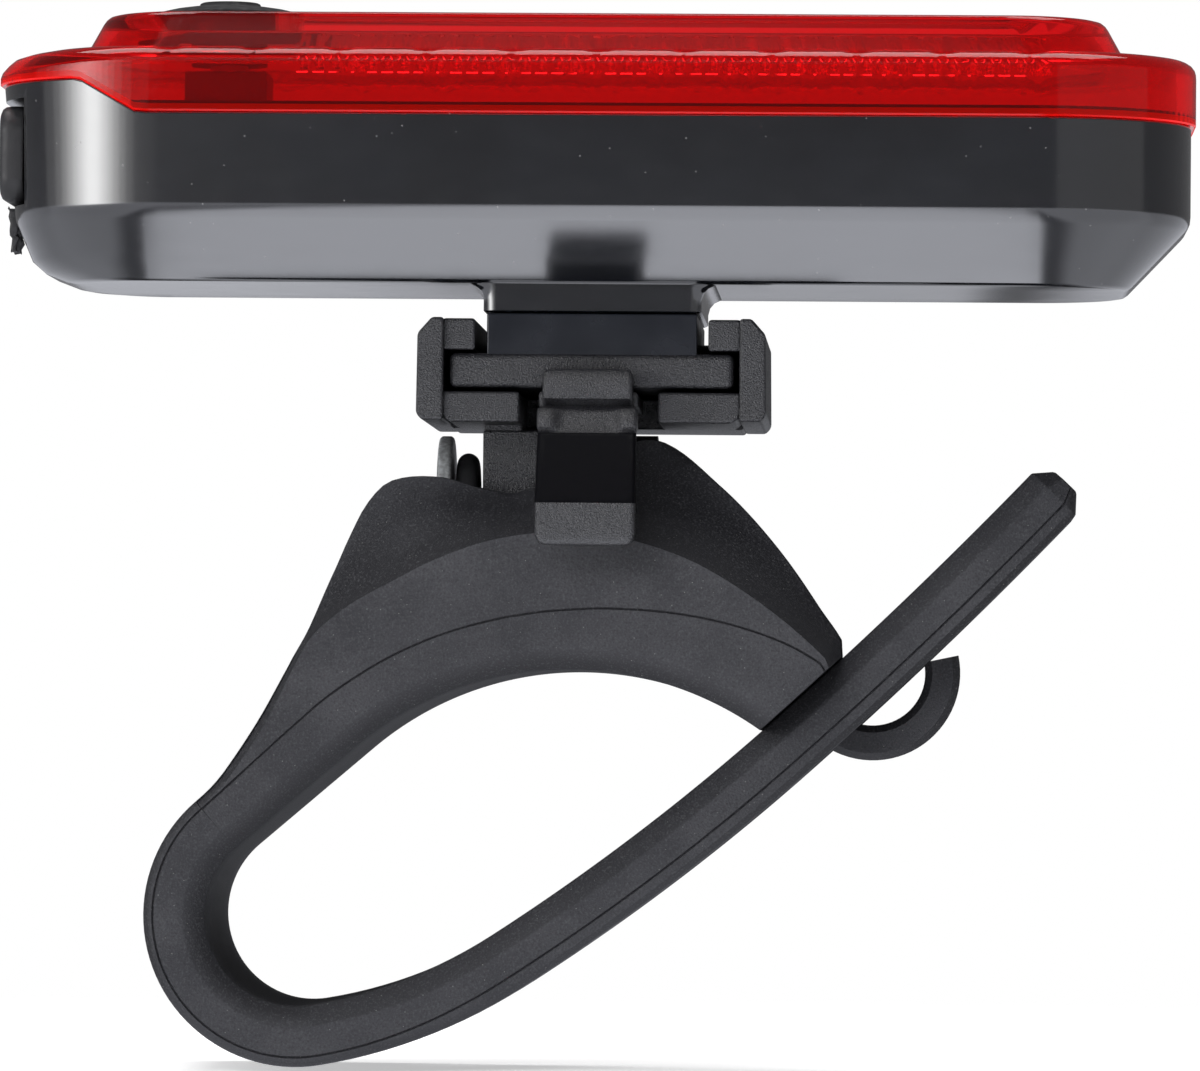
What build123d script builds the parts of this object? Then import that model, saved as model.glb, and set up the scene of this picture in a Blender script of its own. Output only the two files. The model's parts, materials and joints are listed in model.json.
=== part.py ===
from build123d import *
import math
import os

os.makedirs("parts", exist_ok=True)

# Rear bicycle light on a seat-post strap. Millimetres, +Z up towards the lens.
# X runs along the lamp, and -Y is the side that the head slides off.
# Pieces are drawn about the middle of the lamp. At the end they are moved together,
# so that the origin is the crown of the saddle's arch, where the post touches it.

# Post and saddle
arch_r = 20.6
arch_x = -1.1
arch_top_z = 0.2
saddle_half_w = 10.5
saddle_mid_half_w = 5.6
end_low = (10.7, -3.15)
end_high = (15.45, 1.55)

# Strap
strap_t = 3.8
strap_w = 21.0
tail_w_start = 18.0
tail_w_end = 14.0
taper_reach = 18.0
strap_chamfer = 1.1
strap_edge = 0.4
bend_x = -18.2
bend_z = -15.3
bend_r = 7.5
bend_from_deg = 131.0
bend_turn_deg = 148.6
lower_r = 31.4
lower_turn_deg = 23.7
middle_r = 143.0
middle_turn_deg = 8.7
upper_r = 300.0
upper_turn_deg = 4.41
slot_len = 13.5
slot_w = 6.8
slot_rung = 2.2
slot_count = 3
last_slot_mid = 42.15
tail_tip_cut = 1.4
swing_x = -21.8
swing_z = -13.5

# Hook on the saddle's free end
hook_x = 17.6
hook_z = 0.2
hook_r_in = 3.3
hook_t = 2.2
hook_w = 6.0
hook_tip_deg = 12.0
hook_root_deg = -172.0

# Tilt screw, on an axis along X
tilt_z = 10.5
screw_r = 1.25
screw_head_r = 1.9
screw_head_t = 1.9
screw_recess_r = 0.9
screw_recess_t = 0.9
washer_x = -9.9
washer_r = 4.5
washer_t = 0.9
washer_bore_gap = 0.1
ring_x = -8.08
ring_mid_r = 2.72
ring_wire_r = 0.7
nut_flats = 5.0
nut_t = 2.0
screw_gap = 0.05

# Column on the bracket and ear on the saddle's core
column_x0 = -6.97
column_x1 = -0.85
column_r = 4.4
ear_x0 = -0.75
ear_x1 = 3.9
ear_r = 4.6
core_base_z = 5.4
core_base_t = 2.6
core_base_half_x = 8.6
core_base_half_y = 4.4
pocket_gap = 0.4
soft_gap = 0.25

# Bracket
bracket_half_x = 10.9
bracket_half_y = 10.0
bracket_z0 = 15.55
bracket_z1 = 22.05
plate_t = 1.9
claw_in_half = 9.25
lip_in_half = 7.25
lip_z = 20.05
stop_wall_t = 1.2
bracket_chamfer = 0.7

# Release tongue
tongue_x = -0.15
tongue_half_x = 3.1
tongue_slot_half = 4.3
tongue_t = 1.3
tongue_root_y = 0.0
tongue_root_gap = 0.15
tongue_relief = 0.25
catch_top = 18.8
catch_y0 = -12.0
catch_y1 = -9.75
ledge_drop = 1.1
lever_t = 1.5
lever_y_top = -12.3
lever_y_low = -14.8
lever_z_low = 7.8
lever_facet = 2.6

# Clip foot
foot_half_x = 6.8
foot_half_y = 9.25
foot_seam_z = 22.4
foot_gap = 0.25
tee_half_x = 8.85
tee_half_y = 9.4

# Rear casing
head_half_x = 37.6
head_half_y = 14.0
end_flat_half = 4.0
head_corner = head_half_y - end_flat_half
casing_inset = 0.3
casing_z0 = 24.2
bevel_z = 28.3
bevel_in = 4.0
left_knee_z = 25.7
left_knee_in = 1.4
left_bevel_z = 24.6
left_bevel_in = 2.6
left_floor_in = 5.5
left_end_len = 8.0
rim_z = 34.5
casing_wall = 1.8
casing_floor = 1.7
collar_z = 36.6
collar_top_in = 5.0
collar_foot_in = 8.7
lip_wall = 0.8
lip_h = 1.2
collar_x0 = collar_top_in - head_half_x
collar_x1 = collar_foot_in - head_half_x

# Lens cover
lens_wall = 1.2
lower_top_z = 38.6
lower_chamfer_h = 0.7
lower_chamfer_in = 1.0
ridge_top_z = 41.1
ridge_in_side = 4.5
ridge_in_left = 5.3
ridge_in_right = 4.4
ridge_slope = 1.4
ridge_corner = 6.0
ridge_half_y = head_half_y - ridge_in_side
ridge_x0 = ridge_in_left - head_half_x
ridge_x1 = head_half_x - ridge_in_right
notch_pitch = 5.33
notch_first_in = 6.1
notch_last_in = 6.0
notch_first_x = ridge_x0 + notch_first_in
notch_count = 1 + int((ridge_x1 - notch_last_in - notch_first_x) / notch_pitch)
notch_w = 1.2
notch_depth = 0.25
rib_pitch = 1.06
rib_first_in = 14.3
rib_last_in = 5.6
rib_first_x = ridge_x0 + rib_first_in
rib_count = 1 + int((ridge_x1 - rib_last_in - rib_first_x) / rib_pitch)
rib_w = 0.5
rib_depth = 0.35

# Button and switch
button_in = 8.8
button_x = ridge_x0 + button_in
button_r = 4.65
button_gap = 0.3
button_top_z = 42.15
button_disc_r = 1.9
button_disc_h = 0.25
button_flange_r = 6.0
button_flange_t = 0.6
button_stem_r = 2.4
switch_size = 5.2
switch_h = 3.4
plunger_r = 1.2
plunger_h = 0.9

# Board, cell and socket
board_z = 33.4
board_t = 1.0
board_clear = 1.2
led_size = 2.8
led_h = 0.9
led_first_notch = 2
led_count = notch_count - led_first_notch
led_first_x = notch_first_x + led_first_notch * notch_pitch
cell_l = 40.0
cell_w = 18.0
cell_t = 5.0
cell_corner = 1.6
pad_t = 0.8
lead_r = 0.45
lead_y = 3.0
socket_len = 5.2
socket_w = 7.6
socket_h = 2.6
socket_wall = 0.3
contact_in_side = 1.4
contact_t = 0.6
chip_left_gap = 1.0
chip_right_gap = 1.5
chip_l = 4.0
chip_w = 3.0
chip_h = 0.9
board_screw_in = 8.6
board_screw_in_side = 7.0
board_screw_r = 0.8
board_screw_head_r = 1.5
board_screw_head_t = 0.8
post_r = 2.2
cell_post_gap = 2.8
board_screw_x = head_half_x - board_screw_in
board_screw_y = head_half_y - board_screw_in_side
cell_x = board_screw_x - post_r - cell_post_gap - cell_l / 2
foot_screw_y = 5.0
foot_screw_r = 1.1
foot_screw_head_r = 2.0
foot_screw_head_t = 1.0

# Charging port and its cover
port_flat_in = 1.9
port_flat_x = port_flat_in - head_half_x
port_half_y = 5.0
port_z0 = 30.2
port_z1 = 34.1
recess_half_y = 8.2
recess_z0 = 28.9
recess_z1 = 35.6
cover_half_y = 7.6
cover_face_in = 0.25
cover_x0 = cover_face_in - head_half_x
cover_z1 = 35.3
cover_z0 = 29.25
cover_gap = 0.12
plug_half_y = 4.3
plug_z0 = 31.0
plug_z1 = 33.4
plug_depth = 0.9
tether_half_y = 2.5
tether_z0 = 26.5
tether_t = 0.75
tether_gap = 0.05

seal_h = 0.7
TOOL = 60.0


def box(x0, x1, y0, y1, z0, z1):
    """A block between two corners."""
    return Pos((x0 + x1) / 2, (y0 + y1) / 2, (z0 + z1) / 2) * Box(abs(x1 - x0), abs(y1 - y0), abs(z1 - z0))


def rod_x(r, x0, x1, y=0.0, z=0.0):
    """A round bar along X."""
    return Pos((x0 + x1) / 2, y, z) * Rot(0, 90, 0) * Cylinder(r, abs(x1 - x0))


def rod_y(r, y0, y1, x=0.0, z=0.0):
    """A round bar along Y."""
    return Pos(x, (y0 + y1) / 2, z) * Rot(90, 0, 0) * Cylinder(r, abs(y1 - y0))


def rod_z(r, z0, z1, x=0.0, y=0.0):
    """A round bar along Z."""
    return Pos(x, y, (z0 + z1) / 2) * Cylinder(r, abs(z1 - z0))


def side_polygon(points, half_y):
    """A polygon of (x, z) corners, drawn out to both sides of the XZ plane."""
    face = make_face(Polyline(*[Vector(x, 0, z) for x, z in points], close=True))
    return extrude(face, half_y, dir=(0, 1, 0), both=True)


def end_polygon(points, x0, x1):
    """A polygon of (y, z) corners, drawn out along X."""
    face = make_face(Polyline(*[Vector(x0, y, z) for y, z in points], close=True))
    return extrude(face, x1 - x0, dir=(1, 0, 0))


def plan(half_x, half_y, corner, x=0.0):
    """A rounded rectangle seen from above."""
    return Pos(x, 0) * RectangleRounded(2 * half_x, 2 * half_y, corner)


def head_slab(inset, z0, z1):
    """A slice of the lamp's outer form, drawn in by inset."""
    shape = plan(head_half_x - inset, head_half_y - inset, head_corner - inset)
    return Pos(0, 0, z0) * extrude(shape, z1 - z0)


def collar_block(gap=0.0):
    """The raised end of the casing, which carries the port, seen from the side."""
    corners = [
        (-TOOL, rim_z - 4.0),
        (collar_x1 + 4.0, rim_z - 4.0),
        (collar_x1 + gap, rim_z),
        (collar_x0 + gap, collar_z + gap),
        (-TOOL, collar_z + gap),
    ]
    return side_polygon(corners, TOOL)


# Strap line: arcs that follow each other, kept as (centre, radius, start angle, turn)
def strap_arcs():
    """The strap's middle line from the saddle to its free end, as arcs that meet in line."""
    arcs = []
    cx, cz, angle = bend_x, bend_z, bend_from_deg
    radius = bend_r
    turns = [(bend_r, bend_turn_deg), (lower_r, lower_turn_deg), (middle_r, middle_turn_deg), (upper_r, upper_turn_deg)]
    for new_radius, turn in turns:
        shift = radius - new_radius
        cx += shift * math.cos(math.radians(angle))
        cz += shift * math.sin(math.radians(angle))
        radius = new_radius
        arcs.append((cx, cz, radius, angle, turn))
        angle += turn
    return arcs


def arc_point(arc, share, off):
    """A point on one arc, off the middle line by off, outwards."""
    cx, cz, radius, start, turn = arc
    a = math.radians(start + share * turn)
    return (cx + (radius + off) * math.cos(a), cz + (radius + off) * math.sin(a))


def arc_edge(arc, off):
    """One arc of the strap's edge line, off the middle line by off."""
    points = [arc_point(arc, share, off) for share in (0, 0.5, 1)]
    return ThreePointArc(*[Vector(x, 0, z) for x, z in points])


def strap_face(arcs, half_t):
    """The strap's side outline over some of its arcs."""
    outer = [arc_edge(arc, half_t) for arc in arcs]
    inner = [arc_edge(arc, -half_t) for arc in arcs]
    first = Line(inner[0] @ 0, outer[0] @ 0)
    last = Line(outer[-1] @ 1, inner[-1] @ 1)
    return make_face(outer + inner + [first, last])


def strap_band(arcs, half_y):
    """A band of the strap, as wide as its root, with square edges."""
    return extrude(strap_face(arcs, strap_t / 2), half_y, dir=(0, 1, 0), both=True)


def rim_edges(band, arcs, off):
    """The band's side edges on the face that lies off from the middle line."""
    found = []
    for edge in band.edges():
        middle = edge @ 0.5
        for cx, cz, radius, start, turn in arcs:
            reach = math.hypot(middle.X - cx, middle.Z - cz)
            side_on = abs(reach - radius - off) < 0.02
            along = math.degrees(math.atan2(middle.Z - cz, middle.X - cx)) % 360
            inside = 0.02 * turn < (along - start) % 360 < 0.98 * turn
            if side_on and inside and abs(middle.Y) > slot_w:
                found.append(edge)
    return found


def soften(band, arcs):
    """The band with a wide chamfer on its inner edges and a small one on its outer edges."""
    band = chamfer(rim_edges(band, arcs, -strap_t / 2), strap_chamfer)
    return chamfer(rim_edges(band, arcs, strap_t / 2), strap_edge)


def strap_place(run):
    """The point and direction of the tail's middle line, run millimetres from the tail's root."""
    left = run
    for arc in strap_arcs()[1:]:
        length = arc[2] * math.radians(arc[4])
        if left <= length:
            x, z = arc_point(arc, left / length, 0)
            return x, z, arc[3] + arc[4] * left / length + 90
        left -= length
    x, z = arc_point(arc, 1, 0)
    return x, z, arc[3] + arc[4] + 90


def make_strap_loop():
    """The bend of the strap, which the rider stretches and opens."""
    arcs = strap_arcs()[:1]
    return soften(strap_band(arcs, strap_w / 2), arcs)


def tail_taper():
    """The strap's width from its root to its end, seen from above."""
    x0, x1 = bend_x - 1, end_high[0] + taper_reach
    corners = [(x0, -tail_w_start / 2), (x1, -tail_w_end / 2), (x1, tail_w_end / 2), (x0, tail_w_start / 2)]
    face = make_face(Polyline(*[Vector(x, y, -TOOL) for x, y in corners], close=True))
    return extrude(face, 2 * TOOL, dir=(0, 0, 1))


def make_strap_tail():
    """The strap's free run, with slots that drop over the hook."""
    arcs = strap_arcs()[1:]
    tail = soften(strap_band(arcs, strap_w) & tail_taper(), arcs)
    for n in range(slot_count):
        run = last_slot_mid - n * (slot_len + slot_rung)
        x, z, heading = strap_place(run)
        tail -= Pos(x, 0, z) * Rot(0, -heading, 0) * Box(slot_len, slot_w, 3 * strap_t)
    x, z, heading = strap_place(TOOL * 2)
    corner = Pos(x, 0, z) * Rot(0, -heading, 0)
    for side in (1, -1):
        tail -= corner * Pos(0, 0, side * strap_t / 2) * Rot(0, 45, 0) * Box(tail_tip_cut, TOOL, tail_tip_cut)
    return tail


# Saddle
def saddle_section(x, z_low, z_crease, z_mid, mid_half):
    """One upright slice of the saddle: straight sides up to a crease, then slopes to a flat top."""
    corners = [
        (-saddle_half_w, z_low),
        (saddle_half_w, z_low),
        (saddle_half_w, z_crease),
        (mid_half, z_mid),
        (-mid_half, z_mid),
        (-saddle_half_w, z_crease),
    ]
    return make_face(Polyline(*[Vector(x, y, z) for y, z in corners], close=True))


def saddle_form():
    """The rubber saddle's outer form, before its arch and pockets are cut."""
    mid = saddle_mid_half_w
    stations = [
        (-27.0, -15.5, -11.6, -11.2, 9.6),
        (-24.0, -12.6, -8.6, -8.1, 9.4),
        (-21.5, -10.2, -5.4, -4.5, 8.6),
        (-18.6, -9.4, -0.2, 1.2, 7.6),
        (-15.6, -7.0, 3.4, 7.6, mid + 0.6),
        (-13.4, -5.3, 4.9, 11.0, mid),
        (-10.2, -4.0, 6.7, 12.1, mid),
        (-5.0, -3.0, 8.5, 11.4, mid),
        (-0.8, -3.0, 8.9, 12.2, mid - 0.4),
        (3.9, -3.0, 8.0, 14.4, mid - 0.8),
        (7.9, -3.4, 6.1, 11.9, mid - 0.4),
        (11.4, -4.0, 3.9, 8.0, mid),
        (end_high[0], -4.4, 0.7, 1.9, mid + 1.2),
    ]
    return loft([saddle_section(*station) for station in stations])


def bend_cut():
    """A block on the strap's side of the plane where the saddle ends and the bend starts."""
    x, z = arc_point(strap_arcs()[0], 0, 0)
    return Pos(x, 0, z) * Rot(0, -bend_from_deg, 0) * Pos(0, 0, TOOL / 2) * Box(TOOL, TOOL, TOOL)


def saddle_end_cut():
    """A block past the saddle's slanted free end."""
    dx, dz = end_high[0] - end_low[0], end_high[1] - end_low[1]
    reach = 6.0
    far = (end_high[0] + reach * dx, end_high[1] + reach * dz)
    near = (end_low[0] - reach * dx, end_low[1] - reach * dz)
    return side_polygon([near, far, (far[0] + TOOL, near[1])], TOOL)


def inner_run_cut():
    """The space inside the loop, below the saddle's left run, which meets the arch in line."""
    x0, z0 = arc_point(strap_arcs()[0], 0, -strap_t / 2)
    heading = math.radians(bend_from_deg - 90)
    top = (arch_x - arch_r * math.sin(heading), arch_top_z - arch_r + arch_r * math.cos(heading))
    back = 1.1
    low = (x0 - back * (top[0] - x0), z0 - back * (top[1] - z0))
    return side_polygon([low, top, (top[0], -TOOL), (low[0], -TOOL)], TOOL)


def make_hook():
    """The hook that holds a slot of the strap."""
    r_out = hook_r_in + hook_t
    middle = (hook_tip_deg + hook_root_deg) / 2

    def at(radius, deg):
        a = math.radians(deg)
        return Vector(hook_x + radius * math.cos(a), 0, hook_z + radius * math.sin(a))

    outer = ThreePointArc(at(r_out, hook_tip_deg), at(r_out, middle), at(r_out, hook_root_deg))
    inner = ThreePointArc(at(hook_r_in, hook_tip_deg), at(hook_r_in, middle), at(hook_r_in, hook_root_deg))
    tip = Line(outer @ 0, inner @ 0)
    root = Line(outer @ 1, inner @ 1)
    return extrude(make_face([outer, inner, tip, root]), hook_w / 2, dir=(0, 1, 0), both=True)


def pocket_form():
    """The space in the rubber for the column, the O-ring and the washer."""
    r = column_r + pocket_gap
    x0, x1 = washer_x - 0.2, ear_x0
    low = rod_x(washer_r + pocket_gap, x0, x1 + soft_gap, z=tilt_z)
    high = box(x0, x1 + soft_gap, -r - 0.6, r + 0.6, tilt_z, tilt_z + TOOL)
    head = rod_x(screw_head_r + 0.15, washer_x - screw_head_t - 0.3, x0, z=tilt_z)
    head += box(washer_x - screw_head_t - 0.3, x0, -1.2, 1.2, tilt_z, tilt_z + 1.6)
    return low + high + head


def core_form():
    """The hard core: a base plate in the rubber and an ear for the tilt screw."""
    base = box(-core_base_half_x, core_base_half_x, -core_base_half_y, core_base_half_y, core_base_z - core_base_t,
               core_base_z)
    ear = rod_x(ear_r, ear_x0, ear_x1, z=tilt_z)
    ear += box(ear_x0, ear_x1, -core_base_half_y, core_base_half_y, core_base_z - core_base_t, tilt_z)
    return base + ear


def hex_bar(flats, x0, x1):
    """A hexagonal bar along the tilt axis."""
    face = Plane.YZ * RegularPolygon(flats / 2, 6, major_radius=False)
    return Pos(x0, 0, tilt_z) * extrude(face, x1 - x0, dir=(1, 0, 0))


def make_saddle_core():
    """The core with its screw bore and nut pocket."""
    core = core_form()
    core -= rod_x(screw_r + screw_gap, -TOOL, TOOL, z=tilt_z)
    core -= hex_bar(nut_flats + 0.1, ear_x1 - nut_t, ear_x1 + 1)
    return core


def make_strap_saddle():
    """The rubber saddle over its core, with the hook."""
    saddle = saddle_form()
    saddle -= inner_run_cut()
    saddle -= rod_y(arch_r, -TOOL, TOOL, x=arch_x, z=arch_top_z - arch_r)
    saddle -= saddle_end_cut()
    saddle += make_hook()
    saddle -= bend_cut()
    saddle -= pocket_form()
    saddle -= core_form()
    return saddle


# Tilt fastening
def make_tilt_screw():
    """Cheese-head screw along X."""
    head_x = washer_x - screw_head_t
    screw = rod_x(screw_head_r, head_x, washer_x, z=tilt_z)
    screw += rod_x(screw_r, washer_x, ear_x1 - 0.2, z=tilt_z)
    recess = Pos(head_x, 0, tilt_z) * Box(2 * screw_recess_t, 0.6, 2 * screw_recess_r)
    cross = Pos(head_x, 0, tilt_z) * Box(2 * screw_recess_t, 2 * screw_recess_r, 0.6)
    return screw - recess - cross


def make_tilt_washer():
    """Flat washer under the screw's head."""
    washer = rod_x(washer_r, washer_x, washer_x + washer_t, z=tilt_z)
    washer = chamfer(washer.edges().filter_by(GeomType.CIRCLE), 0.15)
    return washer - rod_x(screw_r + washer_bore_gap, -TOOL, 0, z=tilt_z)


def make_tilt_o_ring():
    """Rubber ring between the washer and the column."""
    return Pos(ring_x, 0, tilt_z) * Rot(0, 90, 0) * Torus(ring_mid_r, ring_wire_r)


def make_tilt_nut():
    """Hexagonal nut in the ear's pocket."""
    nut = hex_bar(nut_flats, ear_x1 - nut_t, ear_x1)
    return nut - rod_x(screw_r, -TOOL, TOOL, z=tilt_z)


# Bracket
def make_bracket():
    """The slide channel with its column."""
    outline = [
        (-bracket_half_x, bracket_z0),
        (bracket_half_x, bracket_z0),
        (bracket_half_x, bracket_z1),
        (lip_in_half, bracket_z1),
        (lip_in_half, lip_z),
        (claw_in_half, lip_z),
        (claw_in_half, bracket_z0 + plate_t),
        (-claw_in_half, bracket_z0 + plate_t),
        (-claw_in_half, lip_z),
        (-lip_in_half, lip_z),
        (-lip_in_half, bracket_z1),
        (-bracket_half_x, bracket_z1),
    ]
    bracket = side_polygon(outline, bracket_half_y)
    corners = bracket.edges().filter_by(Axis.Y)
    outer = [e for e in corners if abs(abs(e.center().X) - bracket_half_x) < 0.01]
    bracket = chamfer(outer, bracket_chamfer)
    bracket += box(-bracket_half_x + bracket_chamfer, bracket_half_x - bracket_chamfer,
                   bracket_half_y - stop_wall_t + 0.8, bracket_half_y + 0.8,
                   bracket_z0 + bracket_chamfer, bracket_z1 - bracket_chamfer)
    column = rod_x(column_r, column_x0, column_x1, z=tilt_z)
    column += box(column_x0, column_x1, -column_r, column_r, tilt_z, bracket_z0 + 0.5)
    bracket += column
    slot_end = tongue_root_y + tongue_t / 2 + tongue_root_gap
    bracket -= box(tongue_x - tongue_slot_half, tongue_x + tongue_slot_half, -TOOL, slot_end,
                   bracket_z0 - tongue_relief, bracket_z1 + 5)
    bracket -= box(tongue_x - tongue_slot_half, tongue_x + tongue_slot_half, -TOOL, -column_r - 0.6,
                   bracket_z0 - 1, bracket_z1 + 5)
    return bracket - rod_x(screw_r + screw_gap, -TOOL, TOOL, z=tilt_z)


def make_release_tongue():
    """The sprung tongue that stops the foot, with its thumb lever."""
    z0 = bracket_z0 + plate_t - tongue_t
    z1 = bracket_z0 + plate_t
    mid = (z0 + z1) / 2
    x0, x1 = tongue_x - tongue_half_x, tongue_x + tongue_half_x
    tongue = box(x0, x1, catch_y1, tongue_root_y, z0, z1)
    root_r = tongue_t / 2
    tongue += rod_x(root_r, x0, x1, y=tongue_root_y, z=mid)
    head = [
        (catch_y1, z0),
        (catch_y1, catch_top - 0.3),
        (catch_y1 - 0.3, catch_top),
        (catch_y0 + 0.5, catch_top),
        (catch_y0, catch_top - 0.6),
        (catch_y0, catch_top - 1.7),
        (catch_y0 + ledge_drop, catch_top - 2.6),
        (catch_y0 - 0.4, z0 - 0.4),
        (lever_y_top, z0 - 0.8),
        (lever_y_low, lever_z_low + lever_facet),
        (lever_y_low + 0.15, lever_z_low),
        (lever_y_low + lever_t, lever_z_low),
        (lever_y_low + lever_t, lever_z_low + lever_facet),
        (lever_y_top + lever_t, z0 - 0.8),
    ]
    return tongue + end_polygon(head, x0, x1)


# Foot under the lamp
def make_clip_foot():
    """The T-shaped foot that slides into the bracket."""
    z_tee = lip_z - foot_gap
    z_low = bracket_z0 + plate_t + foot_gap
    foot = box(-foot_half_x, foot_half_x, -foot_half_y, foot_half_y, z_tee, foot_seam_z)
    foot += box(-tee_half_x, tee_half_x, -tee_half_y, tee_half_y, z_low, z_tee)
    for y in (-foot_screw_y, foot_screw_y):
        foot -= rod_z(foot_screw_r, z_low + 0.6, foot_seam_z + 1, y=y)
    return foot


def make_foot_screws():
    """Two screws from inside the casing into the foot."""
    top = casing_z0 + casing_floor
    z_low = bracket_z0 + plate_t + foot_gap + 0.6
    screws = []
    for y in (-foot_screw_y, foot_screw_y):
        screw = rod_z(foot_screw_r, z_low, top, y=y)
        screw += rod_z(foot_screw_head_r, top, top + foot_screw_head_t, y=y)
        screws.append(screw)
    return Compound(screws)


# Rear casing
def casing_outer():
    """The casing's outer form: wall, bevels and floor."""
    side = head_half_y - casing_inset
    cut = []
    for s in (-1, 1):
        corners = [(s * (side + 5), bevel_z), (s * side, bevel_z), (s * (side - bevel_in), casing_z0 - 0.001),
                   (s * (side - bevel_in), casing_z0 - 5), (s * (side + 5), casing_z0 - 5)]
        cut.append(end_polygon(corners, -TOOL, TOOL))
    end = head_half_x - casing_inset
    knee = -end + left_knee_in
    left = [(-end - 5, bevel_z), (-end, bevel_z), (knee, left_knee_z), (knee + left_bevel_in, left_bevel_z),
            (-end + left_floor_in, casing_z0 - 0.001), (-end + left_floor_in, casing_z0 - 5), (-end - 5, casing_z0 - 5)]
    bottom = loft([
        Pos(0, 0, casing_z0) * plan(head_half_x - casing_inset - bevel_in, side - bevel_in, head_corner - bevel_in),
        Pos(0, 0, bevel_z) * plan(head_half_x - casing_inset, side, head_corner),
    ])
    low = head_slab(casing_inset, casing_z0, bevel_z)
    left_keep = box(-TOOL, -end + left_end_len, -TOOL, TOOL, casing_z0, bevel_z)
    low_left = low & left_keep
    for c in cut:
        low_left -= c
    low_left -= side_polygon(left, TOOL)
    wall = head_slab(casing_inset, bevel_z, collar_z)
    top_cut = head_slab(-5, rim_z, collar_z + 5) - collar_block()
    return (wall - top_cut) + bottom + low_left


def casing_cavity():
    """The space inside the casing, for the cell, the leads and the board."""
    inset = casing_inset + casing_wall
    side = head_half_y - inset
    floor_plan = plan(head_half_x - inset - bevel_in, side - bevel_in, head_corner - inset - bevel_in + 1.2)
    wall_plan = plan(head_half_x - inset, side, head_corner - inset)
    low = loft([Pos(0, 0, casing_z0 + casing_floor) * floor_plan, Pos(0, 0, bevel_z + 0.6) * wall_plan])
    high = head_slab(inset, bevel_z + 0.6, collar_z + 5)
    return low + high


def make_rear_casing():
    """The glossy rear casing, with posts, lip, port and the boss for the foot."""
    casing = casing_outer() - casing_cavity()
    boss = box(-foot_half_x, foot_half_x, -foot_half_y, foot_half_y, foot_seam_z, casing_z0 + 0.5)
    casing += boss
    lip_in = casing_inset + casing_wall
    ring = head_slab(lip_in - lip_wall, rim_z - 0.5, rim_z + lip_h) - head_slab(lip_in, rim_z - 1, rim_z + lip_h + 1)
    casing += ring - side_polygon([(-TOOL, -TOOL), (collar_x1, -TOOL), (collar_x1, TOOL), (-TOOL, TOOL)], TOOL)
    for x in (-board_screw_x, board_screw_x):
        for y in (-board_screw_y, board_screw_y):
            casing += rod_z(post_r, casing_z0 + 0.8, board_z, x=x, y=y) & head_slab(casing_inset + 1, casing_z0, board_z)
    for x in (-board_screw_x, board_screw_x):
        for y in (-board_screw_y, board_screw_y):
            casing -= rod_z(board_screw_r, board_z - 4, board_z + 1, x=x, y=y)
    for y in (-foot_screw_y, foot_screw_y):
        casing -= rod_z(foot_screw_r, foot_seam_z - 1, casing_z0 + casing_floor + 1, y=y)
    casing -= box(-TOOL, port_flat_x, -recess_half_y, recess_half_y, recess_z0, recess_z1)
    casing -= box(-TOOL, -head_half_x + 6, -port_half_y, port_half_y, port_z0, port_z1)
    casing -= box(-TOOL, -head_half_x + casing_inset + tether_t, -tether_half_y - 0.1, tether_half_y + 0.1,
                  tether_z0 - 0.02, recess_z0 + 0.1)
    return casing


# Lens
def ridge_form(inset, z0):
    """The raised middle of the lens, drawn in by inset, from z0 to its top."""
    half = (ridge_x1 - ridge_x0) / 2
    mid = (ridge_x1 + ridge_x0) / 2
    top = ridge_top_z - inset
    base = plan(half - inset, ridge_half_y - inset, ridge_corner - inset, mid)
    crown = plan(half - inset - ridge_slope, ridge_half_y - inset, ridge_corner - inset - 0.6, mid)
    low = Pos(0, 0, z0) * extrude(base, lower_top_z + 0.2 - z0)
    high = loft([Pos(0, 0, lower_top_z + 0.2) * base, Pos(0, 0, top) * crown])
    return low + high


def lower_form(inset, z0):
    """The lens's wide lower tier, drawn in by inset, from z0 to its chamfered top."""
    top = lower_top_z - inset
    slab = head_slab(inset, z0, top)
    if inset == 0:
        edges = slab.faces().sort_by(Axis.Z)[-1].edges()
        slab = chamfer(edges, lower_chamfer_h, lower_chamfer_in)
    return slab


def rib_comb(half_y, z0, z1):
    """A row of small upright ribs on the inside of both long walls."""
    ribs = []
    for n in range(rib_count):
        x = rib_first_x + n * rib_pitch
        for s in (-1, 1):
            ribs.append(box(x - rib_w / 2, x + rib_w / 2, s * (half_y - rib_depth), s * (half_y + 0.3), z0, z1))
    return ribs


def make_lens_cover():
    """The red lens: a wide rim, a raised middle and a hole for the button."""
    outer = lower_form(0, rim_z) + ridge_form(0, lower_top_z - 1)
    hollow = lower_form(lens_wall, rim_z - 1) + ridge_form(lens_wall, lower_top_z - 2)
    lens = outer - hollow
    comb = rib_comb(ridge_half_y - lens_wall, lower_top_z - 0.8, ridge_top_z - lens_wall - 0.2)
    comb += rib_comb(head_half_y - lens_wall, lower_top_z - 2.2, lower_top_z - lens_wall)
    lens += comb
    lens -= collar_block()
    lens -= rod_z(button_r + button_gap, ridge_top_z - 3, ridge_top_z + 3, x=button_x)
    for n in range(notch_count):
        x = notch_first_x + n * notch_pitch
        for s in (-1, 1):
            y = s * head_half_y
            notch = box(x - notch_w / 2, x + notch_w / 2, y - notch_depth, y + notch_depth,
                        lower_top_z - lower_chamfer_h - 0.35, lower_top_z - lower_chamfer_h + 0.15)
            lens -= notch
    return lens


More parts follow.
